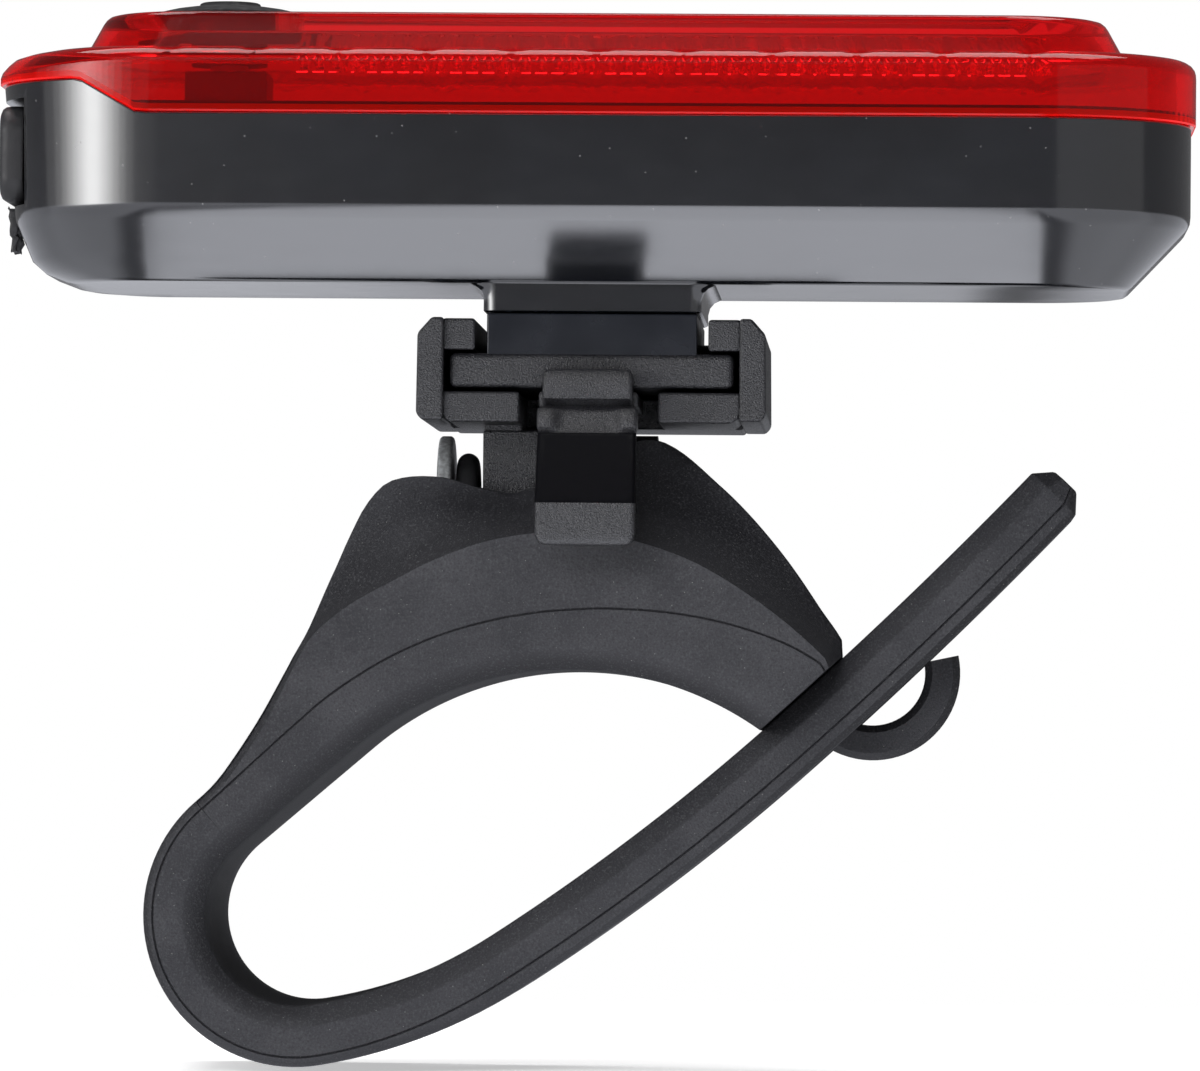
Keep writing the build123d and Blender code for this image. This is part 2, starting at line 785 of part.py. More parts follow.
def make_lens_seal():
    """The seal between the casing's lip and the lens."""
    outside = lens_wall
    seal = head_slab(outside, rim_z, rim_z + seal_h) - head_slab(casing_inset + casing_wall - lip_wall, rim_z - 1,
                                                                 rim_z + seal_h + 1)
    return seal - side_polygon([(-TOOL, -TOOL), (collar_x1 + 0.4, -TOOL), (collar_x1 + 0.4, TOOL), (-TOOL, TOOL)], TOOL)


# Button and switch
def make_mode_button():
    """The rubber button: a low dome with a small disc, a flange and a stem."""
    z_flange = ridge_top_z - lens_wall - button_gap
    stem_low = board_z + board_t + switch_h + plunger_h
    dome_h = button_top_z - ridge_top_z
    button = rod_z(button_r, z_flange - button_flange_t, ridge_top_z + 0.1, x=button_x)
    dome = Pos(button_x, 0, ridge_top_z + 0.1) * Cone(button_r, button_r - 1.6, dome_h - 0.1, align=(Align.CENTER,
                                                                                                   Align.CENTER, Align.MIN))
    button += dome
    button += rod_z(button_flange_r, z_flange - button_flange_t, z_flange, x=button_x)
    button += rod_z(button_stem_r, stem_low, z_flange, x=button_x)
    button += rod_z(button_disc_r, button_top_z - 0.2, button_top_z + button_disc_h, x=button_x)
    return button


def make_tact_switch():
    """The switch's square body on the board."""
    z0 = board_z + board_t
    half = switch_size / 2
    body = box(button_x - half, button_x + half, -half, half, z0, z0 + switch_h)
    return body - rod_z(plunger_r + screw_gap, z0 + switch_h - 1.2, z0 + switch_h + 1, x=button_x)


def make_switch_plunger():
    """The switch's round plunger."""
    z0 = board_z + board_t + switch_h
    return rod_z(plunger_r, z0 - 0.7, z0 + plunger_h - 0.02, x=button_x)


# Electronics
def make_led_board():
    """The printed board that carries the LEDs, the switch and the socket."""
    inset = casing_inset + casing_wall + board_clear
    board = Pos(0, 0, board_z) * extrude(plan(head_half_x - inset, head_half_y - inset, head_corner - inset), board_t)
    for x in (-board_screw_x, board_screw_x):
        for y in (-board_screw_y, board_screw_y):
            board -= rod_z(board_screw_r + 0.1, board_z - 1, board_z + 3, x=x, y=y)
    return board


def make_led_row():
    """The LEDs, one under each notch of the ribbed stretch."""
    z0 = board_z + board_t
    half = led_size / 2
    leds = []
    for n in range(led_count):
        x = led_first_x + n * notch_pitch
        led = box(x - half, x + half, -half, half, z0, z0 + led_h)
        leds.append(led + rod_z(led_size * 0.36, z0 + led_h, z0 + led_h + 0.25, x=x))
    return Compound(leds)


def make_board_chips():
    """The charging circuit's chips under the board."""
    chips = []
    left = cell_x - cell_l / 2 - chip_left_gap - chip_l / 2
    right = cell_x + cell_l / 2 + chip_right_gap + chip_l / 2
    for x in (left, right):
        chips.append(box(x - chip_l / 2, x + chip_l / 2, -chip_w / 2, chip_w / 2, board_z - chip_h, board_z))
    return Compound(chips)


def make_battery_pad():
    """Foam pad under the cell."""
    z0 = casing_z0 + casing_floor + foot_screw_head_t
    return box(cell_x - cell_l / 2 + 1, cell_x + cell_l / 2 - 1, -cell_w / 2 + 1, cell_w / 2 - 1, z0, z0 + pad_t)


def make_battery_cell():
    """Flat pouch cell."""
    z0 = casing_z0 + casing_floor + foot_screw_head_t + pad_t
    cell = box(cell_x - cell_l / 2, cell_x + cell_l / 2, -cell_w / 2, cell_w / 2, z0, z0 + cell_t)
    return fillet(cell.edges().filter_by(Axis.X), cell_corner)


def make_lead(y):
    """One lead from the cell's end up to the board."""
    z0 = casing_z0 + casing_floor + foot_screw_head_t + pad_t + cell_t / 2
    x0 = cell_x + cell_l / 2
    reach = 2.4
    path = FilletPolyline((x0, y, z0), (x0 + reach, y, z0), (x0 + reach, y, board_z), radius=1.4)
    section = Plane(path @ 0, z_dir=path % 0) * Circle(lead_r)
    return sweep(section, path)


def make_usb_socket():
    """The socket's steel shell under the board."""
    x0 = -head_half_x + casing_inset + casing_wall + 1.0
    shell = box(x0, x0 + socket_len, -socket_w / 2, socket_w / 2, board_z - socket_h, board_z)
    inside = box(x0 - 1, x0 + socket_len - socket_wall, -socket_w / 2 + socket_wall, socket_w / 2 - socket_wall,
                 board_z - socket_h + socket_wall, board_z - socket_wall)
    return shell - inside


def make_usb_tongue():
    """The contact tongue in the socket."""
    x0 = -head_half_x + casing_inset + casing_wall + 1.6
    z_mid = board_z - socket_h / 2
    end = x0 + socket_len - socket_wall - 0.6
    half = socket_w / 2 - contact_in_side
    return box(x0, end, -half, half, z_mid - contact_t / 2, z_mid + contact_t / 2)


def make_board_screws():
    """Four screws that hold the board on its posts."""
    screws = []
    top = board_z + board_t
    for x in (-board_screw_x, board_screw_x):
        for y in (-board_screw_y, board_screw_y):
            screw = rod_z(board_screw_r, board_z - 4, top, x=x, y=y)
            screw += rod_z(board_screw_head_r, top, top + board_screw_head_t, x=x, y=y)
            screws.append(screw)
    return Compound(screws)


# Port cover
def make_usb_cover():
    """The rubber flap over the charging port, with its plug."""
    x1 = port_flat_x - cover_gap
    face = box(cover_x0, x1, -cover_half_y, cover_half_y, cover_z0, cover_z1)
    uprights = face.edges().filter_by(Axis.X)
    face = fillet(uprights, 0.9)
    plug = [(x1, plug_z0), (x1 + plug_depth, plug_z0 + 0.2), (x1 + plug_depth, plug_z1 - 0.4), (x1, plug_z1),
            (x1 - 0.4, plug_z1), (x1 - 0.4, plug_z0)]
    return face + side_polygon(plug, plug_half_y)


def make_usb_tether():
    """The cover's tether, held in the casing's end below the port."""
    x0 = cover_x0 + 0.05
    z1 = cover_z0 - tether_gap
    x_wall = -head_half_x + casing_inset + tether_t
    strip = box(x0, x_wall, -tether_half_y, tether_half_y, tether_z0, z1)
    return strip


NODES = {
    "strap_saddle": make_strap_saddle,
    "saddle_core": make_saddle_core,
    "strap_loop": make_strap_loop,
    "strap_tail": make_strap_tail,
    "tilt_screw": make_tilt_screw,
    "tilt_washer": make_tilt_washer,
    "tilt_o_ring": make_tilt_o_ring,
    "tilt_nut": make_tilt_nut,
    "bracket": make_bracket,
    "release_tongue": make_release_tongue,
    "clip_foot": make_clip_foot,
    "foot_screws": make_foot_screws,
    "rear_casing": make_rear_casing,
    "lens_cover": make_lens_cover,
    "lens_seal": make_lens_seal,
    "mode_button": make_mode_button,
    "tact_switch": make_tact_switch,
    "switch_plunger": make_switch_plunger,
    "led_board": make_led_board,
    "led_row": make_led_row,
    "board_chips": make_board_chips,
    "battery_pad": make_battery_pad,
    "battery_cell": make_battery_cell,
    "battery_lead_red": lambda: make_lead(lead_y),
    "battery_lead_black": lambda: make_lead(-lead_y),
    "usb_socket": make_usb_socket,
    "usb_socket_tongue": make_usb_tongue,
    "board_screws": make_board_screws,
    "usb_cover": make_usb_cover,
    "usb_cover_tether": make_usb_tether,
}

to_crown = Location((-arch_x, 0, -arch_top_z))
for name, make in NODES.items():
    export_step(make().moved(to_crown), f"parts/{name}.step")
    print("made", name)
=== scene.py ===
# %% [markdown]
# A small rear lamp for a bicycle hangs on a rubber strap. Its working parts come in as a fixed
# frame, in metres, and every new surface is built round them in the same place.
# The box round the frame is kept, so that the dressed lamp can be measured against it at the end.

# %% Load the lamp's frame
import json
import math

import bmesh
import bpy
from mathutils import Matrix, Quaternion, Vector


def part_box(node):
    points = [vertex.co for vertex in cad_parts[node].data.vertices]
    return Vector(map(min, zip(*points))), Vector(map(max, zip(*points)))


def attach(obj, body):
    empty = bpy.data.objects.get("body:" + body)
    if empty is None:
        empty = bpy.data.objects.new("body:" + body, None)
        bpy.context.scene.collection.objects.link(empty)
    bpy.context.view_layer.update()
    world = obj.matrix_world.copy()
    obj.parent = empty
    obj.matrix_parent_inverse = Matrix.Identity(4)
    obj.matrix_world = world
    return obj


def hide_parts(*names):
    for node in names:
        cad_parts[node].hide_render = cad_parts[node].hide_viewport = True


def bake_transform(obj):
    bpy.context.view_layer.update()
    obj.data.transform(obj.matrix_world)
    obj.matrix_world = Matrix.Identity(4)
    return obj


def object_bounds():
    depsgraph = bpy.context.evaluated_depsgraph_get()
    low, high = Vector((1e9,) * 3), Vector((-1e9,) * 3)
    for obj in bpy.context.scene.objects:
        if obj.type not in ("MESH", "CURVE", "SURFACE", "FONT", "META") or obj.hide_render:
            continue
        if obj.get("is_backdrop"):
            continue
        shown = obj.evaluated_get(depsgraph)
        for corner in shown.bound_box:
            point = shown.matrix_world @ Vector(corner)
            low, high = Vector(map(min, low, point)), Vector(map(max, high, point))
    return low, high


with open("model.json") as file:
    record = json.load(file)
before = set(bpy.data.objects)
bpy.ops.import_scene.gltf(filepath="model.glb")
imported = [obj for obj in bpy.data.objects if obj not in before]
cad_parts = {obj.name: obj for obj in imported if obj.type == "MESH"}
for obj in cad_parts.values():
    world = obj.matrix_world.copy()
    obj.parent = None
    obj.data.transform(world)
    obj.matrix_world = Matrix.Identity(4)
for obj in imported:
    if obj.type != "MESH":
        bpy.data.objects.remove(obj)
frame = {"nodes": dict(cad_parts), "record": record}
cad_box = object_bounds()

# %% [markdown]
# The lamp was drawn in millimetres about the middle of its head. Two faces of the loaded lens say
# where that middle is now, so one short function turns a drawn point into a place in the scene.

# %% From drawn millimetres to the scene
MM = 0.001
LENS_TOP = 41.1
lens_low, lens_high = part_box("lens_cover")
LAMP_X = (lens_low.x + lens_high.x) / 2
LAMP_Z = lens_high.z - LENS_TOP * MM


def at(x, y, z):
    """The scene's point for a drawn point."""
    return Vector((LAMP_X + x * MM, y * MM, LAMP_Z + z * MM))


print("lamp's middle", round(LAMP_X, 5), "drawn zero at", round(LAMP_Z, 5))

# %% [markdown]
# The picture was taken with a long lens, a little below the lamp and to its right. A long focal
# length keeps the sides nearly parallel. The camera is turned towards the lamp instead of shifted,
# so that views from other sides stay centred.

# %% Camera
CAMERA_X, CAMERA_Y, CAMERA_Z = 20.0, -530.0, -5.1
AIM = Vector((-0.03723, 1.0, 0.02619))
ROLL_DEG = 0.5
FOCAL_MM = 251.5
SENSOR_MM = 36.0
camera_data = bpy.data.cameras.new("camera")
camera_data.lens = FOCAL_MM
camera_data.sensor_width = SENSOR_MM
camera_data.clip_start = 0.01
camera = bpy.data.objects.new("camera", camera_data)
camera.location = at(CAMERA_X, CAMERA_Y, CAMERA_Z)
camera.rotation_mode = "QUATERNION"
roll = Quaternion((0, 0, 1), math.radians(ROLL_DEG))
camera.rotation_quaternion = AIM.to_track_quat("-Z", "Y") @ roll
bpy.context.scene.collection.objects.link(camera)
bpy.context.scene.camera = camera
bpy.context.scene.view_settings.view_transform = "Standard"
print("camera", tuple(round(v, 4) for v in camera.location))

# %% [markdown]
# A product table is a white sheet that runs under the object and up behind it. The world is the part
# of that sheet behind the lamp. It shows pure white to the camera, also through the lens, and stays
# quieter as a source of light, so the black parts keep their depth. A picture of a sky would light
# the lamp from all sides, and the soft boxes below would no longer shape it.

# %% White world
STUDIO_GREY = 0.12
STUDIO_BLUE = 1.04


def link_all(tree, links):
    """Joins sockets given as (from node, socket, to node, socket)."""
    for a, out, b, into in links:
        tree.links.new(a.outputs[out], b.inputs[into])


def math_node(tree, operation):
    """A node that works out one number."""
    node = tree.nodes.new("ShaderNodeMath")
    node.operation = operation
    return node


def set_range(node, low, high, out_low, out_high):
    """Says which range a node reads and which it gives."""
    node.inputs["From Min"].default_value = low
    node.inputs["From Max"].default_value = high
    node.inputs["To Min"].default_value = out_low
    node.inputs["To Max"].default_value = out_high


def make_world():
    """White behind the lamp, grey as a light."""
    world = bpy.data.worlds.new("studio")
    world.use_nodes = True
    tree = world.node_tree
    tree.nodes.clear()
    out = tree.nodes.new("ShaderNodeOutputWorld")
    quiet = tree.nodes.new("ShaderNodeBackground")
    quiet.inputs["Color"].default_value = (STUDIO_GREY, STUDIO_GREY, STUDIO_GREY * STUDIO_BLUE, 1)
    white = tree.nodes.new("ShaderNodeBackground")
    white.inputs["Color"].default_value = (1, 1, 1, 1)
    path = tree.nodes.new("ShaderNodeLightPath")
    either = math_node(tree, "MAXIMUM")
    mix = tree.nodes.new("ShaderNodeMixShader")
    link_all(tree, [
        (path, "Is Camera Ray", either, 0),
        (path, "Is Transmission Ray", either, 1),
        (either, 0, mix, 0),
        (quiet, 0, mix, 1),
        (white, 0, mix, 2),
        (mix, 0, out, 0),
    ])
    bpy.context.scene.world = world


make_world()
print("world", bpy.context.scene.world.name)

# %% [markdown]
# The case's sloped lower sides look down at the table, so what they show is the table's reflection.
# A photographer lays a small bright card there. Here the floor shines like such a card, only for
# mirror-like rays: bright under the lamp's front, weaker towards its back, and nearly dark under
# each end, which gives the slopes a light band with soft ends. Further out it is brighter again.

# %% Card that the case reflects
CARD_NEAR, CARD_FAR, CARD_DARK, CARD_SIDE = 2.0, 0.42, 0.1, 0.5
CARD_COLOR = (0.90, 0.92, 1.0)
CARD_HALF_X = 0.0295
CARD_EDGE = 0.005
CARD_SIDE_FROM, CARD_SIDE_TO = 0.009, 0.021
CARD_DEPTH = 0.035


def soft_range(tree, low, high, out_low, out_high):
    """A node that goes from one value to another with soft ends."""
    node = tree.nodes.new("ShaderNodeMapRange")
    node.interpolation_type = "SMOOTHSTEP"
    set_range(node, low, high, out_low, out_high)
    return node


def make_card(tree, coord):
    """The card's light, by the place on the floor."""
    split = tree.nodes.new("ShaderNodeSeparateXYZ")
    aside = math_node(tree, "ABSOLUTE")
    depth = soft_range(tree, 0.0, CARD_DEPTH, CARD_NEAR, CARD_FAR)
    ends = soft_range(tree, CARD_HALF_X, CARD_HALF_X + CARD_EDGE, 1.0, CARD_DARK)
    side_from, side_to = CARD_HALF_X + CARD_SIDE_FROM, CARD_HALF_X + CARD_SIDE_TO
    beyond = soft_range(tree, side_from, side_to, 0.0, CARD_SIDE)
    power = math_node(tree, "MULTIPLY")
    total = math_node(tree, "ADD")
    card = tree.nodes.new("ShaderNodeEmission")
    card.inputs["Color"].default_value = (*CARD_COLOR, 1)
    link_all(tree, [
        (coord, "Object", split, 0),
        (split, "Y", depth, "Value"),
        (split, "X", aside, 0),
        (aside, 0, ends, "Value"),
        (aside, 0, beyond, "Value"),
        (depth, "Result", power, 0),
        (ends, "Result", power, 1),
        (power, 0, total, 0),
        (beyond, "Result", total, 1),
        (total, 0, card, "Strength"),
    ])
    return card


print("card half", CARD_HALF_X / MM, "mm wide")

# %% [markdown]
# The floor is a wide plane of white paper. Near the lamp the camera sees the soft shadow on it, and a
# little light of its own lifts it to the white of the world. Away from the lamp it fades out for the
# camera, which hides the horizon: a plane that ends somewhere would draw a line across the picture.

# %% White floor
FLOOR_SIZE = 3.0
FLOOR_GAP = 0.0003
FLOOR_WHITE = 0.95
FLOOR_ROUGH = 0.9
FLOOR_LIFT = 0.45
FADE_FROM, FADE_TO = 0.04, 0.16


def make_floor_white():
    """White paper that fades out for the camera at a distance from the lamp."""
    material = bpy.data.materials.new("floor_white")
    material.use_nodes = True
    tree = material.node_tree
    paper = tree.nodes["Principled BSDF"]
    paper.inputs["Base Color"].default_value = (FLOOR_WHITE, FLOOR_WHITE, FLOOR_WHITE, 1)
    paper.inputs["Roughness"].default_value = FLOOR_ROUGH
    paper.inputs["Specular IOR Level"].default_value = 0.0
    coord = tree.nodes.new("ShaderNodeTexCoord")
    reach = tree.nodes.new("ShaderNodeVectorMath")
    reach.operation = "LENGTH"
    fade = soft_range(tree, FADE_FROM, FADE_TO, 0.0, 1.0)
    path = tree.nodes.new("ShaderNodeLightPath")
    faded = math_node(tree, "MULTIPLY")
    lift = tree.nodes.new("ShaderNodeEmission")
    lift.inputs["Strength"].default_value = FLOOR_LIFT
    lifted = tree.nodes.new("ShaderNodeAddShader")
    clear = tree.nodes.new("ShaderNodeBsdfTransparent")
    card = make_card(tree, coord)
    glossy = tree.nodes.new("ShaderNodeMixShader")
    eye = tree.nodes.new("ShaderNodeMixShader")
    last = tree.nodes.new("ShaderNodeMixShader")
    link_all(tree, [
        (coord, "Object", reach, 0),
        (reach, "Value", fade, "Value"),
        (fade, "Result", faded, 0),
        (path, "Is Camera Ray", faded, 1),
        (paper, 0, lifted, 0),
        (lift, 0, lifted, 1),
        (path, "Is Glossy Ray", glossy, 0),
        (paper, 0, glossy, 1),
        (card, 0, glossy, 2),
        (path, "Is Camera Ray", eye, 0),
        (glossy, 0, eye, 1),
        (lifted, 0, eye, 2),
        (faded, 0, last, 0),
        (eye, 0, last, 1),
        (clear, 0, last, 2),
        (last, 0, tree.nodes["Material Output"], 0),
    ])
    return material


def make_floor():
    """A pale plane just under the strap."""
    half = FLOOR_SIZE / 2
    z = cad_box[0].z - FLOOR_GAP
    corners = [(-half, -half, z), (half, -half, z), (half, half, z), (-half, half, z)]
    mesh = bpy.data.meshes.new("floor")
    mesh.from_pydata(corners, [], [(0, 1, 2, 3)])
    floor = bpy.data.objects.new("floor", mesh)
    bpy.context.scene.collection.objects.link(floor)
    mesh.materials.append(make_floor_white())
    floor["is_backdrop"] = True
    return floor


floor = make_floor()
print("floor at", round(floor.data.vertices[0].co.z, 5))

# %% [markdown]
# Soft boxes give a glossy black case its shape, because what it shows is mostly their reflection.
# A wide one hangs above. One in front lifts the rubber, and it is hidden from mirror-like rays, so it
# leaves no patch on the lens. The upright highlight on the case's left corner fades out at its sides.
# A single box would give it a hard edge, so boxes of falling width stand one before the other at the
# left, and their light adds up towards the middle. They are spaced a little, since of lamps in the
# same plane a mirror-like ray finds only one. A faint box stands at the right.

# %% Lamps of the studio
def make_light(name, place, target, size, power):
    """An area lamp that faces its target."""
    data = bpy.data.lights.new(name, "AREA")
    data.shape = "RECTANGLE"
    data.size, data.size_y = size
    data.energy = power
    light = bpy.data.objects.new(name, data)
    light.location = place
    light.rotation_euler = (Vector(target) - Vector(place)).to_track_quat("-Z", "Y").to_euler()
    bpy.context.scene.collection.objects.link(light)
    return light


HEAD_MIDDLE = (0, 0, 0.02)
LEFT_BOX = (-0.528, -0.431, 0.09)
LEFT_HEIGHT, LEFT_HEIGHT_STEP = 0.30, 0.01
LEFT_SPACING = 0.015
LEFT_LAYERS = [
    # width in metres, brightness
    (1.30, 0.22),
    (0.90, 0.35),
    (0.68, 0.6),
    (0.52, 0.85),
    (0.39, 1.0),
    (0.28, 1.0),
    (0.18, 0.9),
    (0.10, 0.7),
]

make_light("top_box", (0.0, 0.0, 0.50), HEAD_MIDDLE, (0.60, 0.40), 3.0)
front_box = make_light("front_box", (-0.22, -0.72, 0.36), (0, 0, 0.0), (0.50, 0.24), 3.6)
front_box.visible_glossy = False
for n, (width, glow) in enumerate(LEFT_LAYERS):
    height = LEFT_HEIGHT - LEFT_HEIGHT_STEP * n
    place = [c * (1 - LEFT_SPACING * n) for c in LEFT_BOX]
    power = glow * math.pi * width * height
    make_light(f"left_box_{n}", place, HEAD_MIDDLE, (width, height), power)
make_light("right_box", (0.53, -0.43, 0.09), HEAD_MIDDLE, (0.95, 0.30), 0.12)
print("studio lamps", len(bpy.data.lights))

# %% [markdown]
# Every finish starts from the same few steps: a grain in millimetres, a small change of colour and
# roughness with it, and a bump. Helpers hold those steps, and each finish then says how much.
# The grain uses the object's own coordinates, so it stays on the surface and runs on across seams.
# The first helpers make the material, its grain, and a way to spread a value over another range.

# %% The base of a finish
METRES_TO_MM = 1000


def finish_nodes(name, color, rough):
    """A material with its shader, its coordinates in millimetres, and its node tree."""
    material = bpy.data.materials.new(name)
    material.use_nodes = True
    tree = material.node_tree
    shader = tree.nodes["Principled BSDF"]
    shader.inputs["Base Color"].default_value = (*color, 1)
    shader.inputs["Roughness"].default_value = rough
    coord = tree.nodes.new("ShaderNodeTexCoord")
    scale = tree.nodes.new("ShaderNodeMapping")
    scale.inputs["Scale"].default_value = (METRES_TO_MM, METRES_TO_MM, METRES_TO_MM)
    tree.links.new(coord.outputs["Object"], scale.inputs["Vector"])
    return material, tree, shader, scale


def grain(tree, scale, size_mm, detail=3.0, stretch=(1, 1, 1)):
    """Noise whose lumps are about size_mm across."""
    noise = tree.nodes.new("ShaderNodeTexNoise")
    noise.inputs["Scale"].default_value = 1 / size_mm
    noise.inputs["Detail"].default_value = detail
    if stretch != (1, 1, 1):
        pull = tree.nodes.new("ShaderNodeMapping")
        pull.inputs["Scale"].default_value = stretch
        tree.links.new(scale.outputs[0], pull.inputs["Vector"])
        tree.links.new(pull.outputs[0], noise.inputs["Vector"])
    else:
        tree.links.new(scale.outputs[0], noise.inputs["Vector"])
    return noise.outputs["Fac"]


def remap(tree, value, low, high, out_low, out_high):
    """Spreads a value from one range to another, and holds it there."""
    node = tree.nodes.new("ShaderNodeMapRange")
    tree.links.new(value, node.inputs["Value"])
    set_range(node, low, high, out_low, out_high)
    return node.outputs["Result"]


print("grain is drawn in mm, the scene in m:", METRES_TO_MM)

# %% [markdown]
# On that base lie a tint between two colours, a second colour where a pattern says so, sparse dots
# for dust, and bumps, of which a fine one can follow a broad one. The node that mixes colours has
# several sockets of the same name, so its colour sockets are found by their number.

# %% The layers of a finish
MIX_UNDER, MIX_OVER, MIX_RESULT = 6, 7, 2
SPECK_CORE = 0.6


def tint(tree, share, dark, light):
    """A colour between two, by a share."""
    mix = tree.nodes.new("ShaderNodeMix")
    mix.data_type = "RGBA"
    tree.links.new(share, mix.inputs["Factor"])
    mix.inputs[MIX_UNDER].default_value = (*dark, 1)
    mix.inputs[MIX_OVER].default_value = (*light, 1)
    return mix.outputs[MIX_RESULT]


def overlay(tree, share, under, color):
    """A colour laid over another one, by a share."""
    mix = tree.nodes.new("ShaderNodeMix")
    mix.data_type = "RGBA"
    tree.links.new(share, mix.inputs["Factor"])
    tree.links.new(under, mix.inputs[MIX_UNDER])
    mix.inputs[MIX_OVER].default_value = (*color, 1)
    return mix.outputs[MIX_RESULT]


def specks(tree, scale, spacing_mm, size):
    """Sparse dots: 1 on a dot and 0 off it."""
    cells = tree.nodes.new("ShaderNodeTexVoronoi")
    cells.inputs["Scale"].default_value = 1 / spacing_mm
    cells.inputs["Randomness"].default_value = 1.0
    tree.links.new(scale.outputs[0], cells.inputs["Vector"])
    return remap(tree, cells.outputs["Distance"], size * SPECK_CORE, size, 1.0, 0.0)


def bump(tree, shader, value, height_mm, strength=1.0, before=None):
    """Raises the surface by a value, up to height_mm."""
    node = tree.nodes.new("ShaderNodeBump")
    node.inputs["Strength"].default_value = strength
    node.inputs["Distance"].default_value = height_mm * MM
    tree.links.new(value, node.inputs["Height"])
    if before is not None:
        tree.links.new(before.outputs[0], node.inputs["Normal"])
    tree.links.new(node.outputs[0], shader.inputs["Normal"])
    return node


print("a dot's solid core is", SPECK_CORE, "of its radius")

# %% [markdown]
# The strap is matt rubber, blue-grey with a fine moulded grain. The light dots on it are dust,
# which rubber always holds. They are dots of a cell pattern that is cut off close to its centres.
# The rubber is also painted darker where it faces up, down or inward: painted shade, for the shade that
# falls on those faces under the lamp and inside the loop. The direction of the surface decides where the
# painted shade shows.

# %% Rubber of the strap
RUBBER_DARK, RUBBER_LIGHT = (0.027, 0.0275, 0.032), (0.041, 0.0415, 0.047)
RUBBER_PAINTED_SHADE = (0.017, 0.017, 0.020)
RUBBER_CREST, RUBBER_PIT = (0.075, 0.076, 0.082), (0.010, 0.010, 0.012)
RUBBER_DUST = (0.26, 0.26, 0.25)
SHADE_FULL_BELOW, SHADE_NONE_ABOVE = 0.72, 0.96


def make_strap_rubber():
    """Matt grey rubber with grain, dust and painted shade where it faces away from the sides."""
    material, tree, shader, scale = finish_nodes("strap_rubber", RUBBER_LIGHT, 0.72)
    mottle = grain(tree, scale, 5.0, 4.0)
    grained = tint(tree, remap(tree, mottle, 0.35, 0.65, 0.0, 1.0), RUBBER_DARK, RUBBER_LIGHT)
    # Painted shade: the colour turns darker where the surface faces up, down or inward, away from the
    # sides.
    facing = tree.nodes.new("ShaderNodeNewGeometry")
    split = tree.nodes.new("ShaderNodeSeparateXYZ")
    tree.links.new(facing.outputs["Normal"], split.inputs[0])
    side = math_node(tree, "ABSOLUTE")
    tree.links.new(split.outputs["Y"], side.inputs[0])
    painted_shade = remap(tree, side.outputs[0], SHADE_FULL_BELOW, SHADE_NONE_ABOVE, 1.0, 0.0)
    base = overlay(tree, painted_shade, grained, RUBBER_PAINTED_SHADE)
    fine = grain(tree, scale, 0.13, 2.0)
    base = overlay(tree, remap(tree, fine, 0.52, 0.72, 0.0, 0.55), base, RUBBER_CREST)
    base = overlay(tree, remap(tree, fine, 0.46, 0.30, 0.0, 0.6), base, RUBBER_PIT)
    dust = specks(tree, scale, 0.55, 0.075)
    base = overlay(tree, remap(tree, dust, 0, 1, 0, 0.5), base, RUBBER_DUST)
    tree.links.new(base, shader.inputs["Base Color"])
    tree.links.new(remap(tree, fine, 0.3, 0.7, 0.62, 0.82), shader.inputs["Roughness"])
    wave = grain(tree, scale, 3.2, 1.5)
    first = bump(tree, shader, wave, 0.16, 0.6)
    bump(tree, shader, fine, 0.045, 0.9, first)
    shader.inputs["Specular IOR Level"].default_value = 0.4
    return material


strap_rubber = make_strap_rubber()
print("finish", strap_rubber.name)

# %% [markdown]
# The rear case is polished black plastic. Polish is a low roughness, and what makes it look real is
# what breaks the reflection: a faint waviness of the moulding, dust, and hair-fine wipe marks. Under
# a shallow angle the real case reflects the table strongly. A clear coat over the plastic does the
# same, where one layer alone would leave the slopes too dark.

# %% Glossy black of the case
GLOSS_DARK, GLOSS_LIGHT = (0.0035, 0.004, 0.006), (0.006, 0.007, 0.010)
GLOSS_DUST = (0.22, 0.22, 0.22)
GLOSS_ROUGH_FROM, GLOSS_ROUGH_TO = 0.12, 0.20
COAT_IOR, COAT_ROUGH = 1.9, 0.13


def make_casing_gloss():
    """Polished black plastic with dust and faint wipe marks."""
    material, tree, shader, scale = finish_nodes("casing_gloss", GLOSS_LIGHT, GLOSS_ROUGH_FROM)
    dust = specks(tree, scale, 1.1, 0.055)
    cloud = grain(tree, scale, 9.0, 3.0)
    base = tint(tree, remap(tree, cloud, 0.35, 0.65, 0, 1), GLOSS_DARK, GLOSS_LIGHT)
    base = overlay(tree, remap(tree, dust, 0, 1, 0, 0.7), base, GLOSS_DUST)
    tree.links.new(base, shader.inputs["Base Color"])
    wipe = grain(tree, scale, 0.9, 4.0, (0.35, 1.0, 1.0))
    shine = remap(tree, wipe, 0.3, 0.75, GLOSS_ROUGH_FROM, GLOSS_ROUGH_TO)
    tree.links.new(shine, shader.inputs["Roughness"])
    wave = grain(tree, scale, 3.5, 1.0)
    first = bump(tree, shader, wave, 0.012, 0.5)
    bump(tree, shader, dust, 0.02, 0.6, first)
    shader.inputs["Specular IOR Level"].default_value = 0.7
    shader.inputs["Coat Weight"].default_value = 1.0
    shader.inputs["Coat IOR"].default_value = COAT_IOR
    shader.inputs["Coat Roughness"].default_value = COAT_ROUGH
    return material


casing_gloss = make_casing_gloss()
print("finish", casing_gloss.name)

# %% [markdown]
# The bracket comes from a spark-eroded mould, whose pits leave a leathery matt skin. Two sizes of
# noise do it: the small one is the skin's relief, and gives it its colour, shine and bump together,
# and the larger one lets the black come and go a little.

# %% Textured black of the bracket
SKIN_DARK, SKIN_LIGHT = (0.006, 0.006, 0.008), (0.012, 0.012, 0.015)
SKIN_CREST = (0.09, 0.09, 0.095)
SKIN_ROUGH_FROM, SKIN_ROUGH_TO = 0.24, 0.46
SKIN_HEIGHT_MM = 0.09


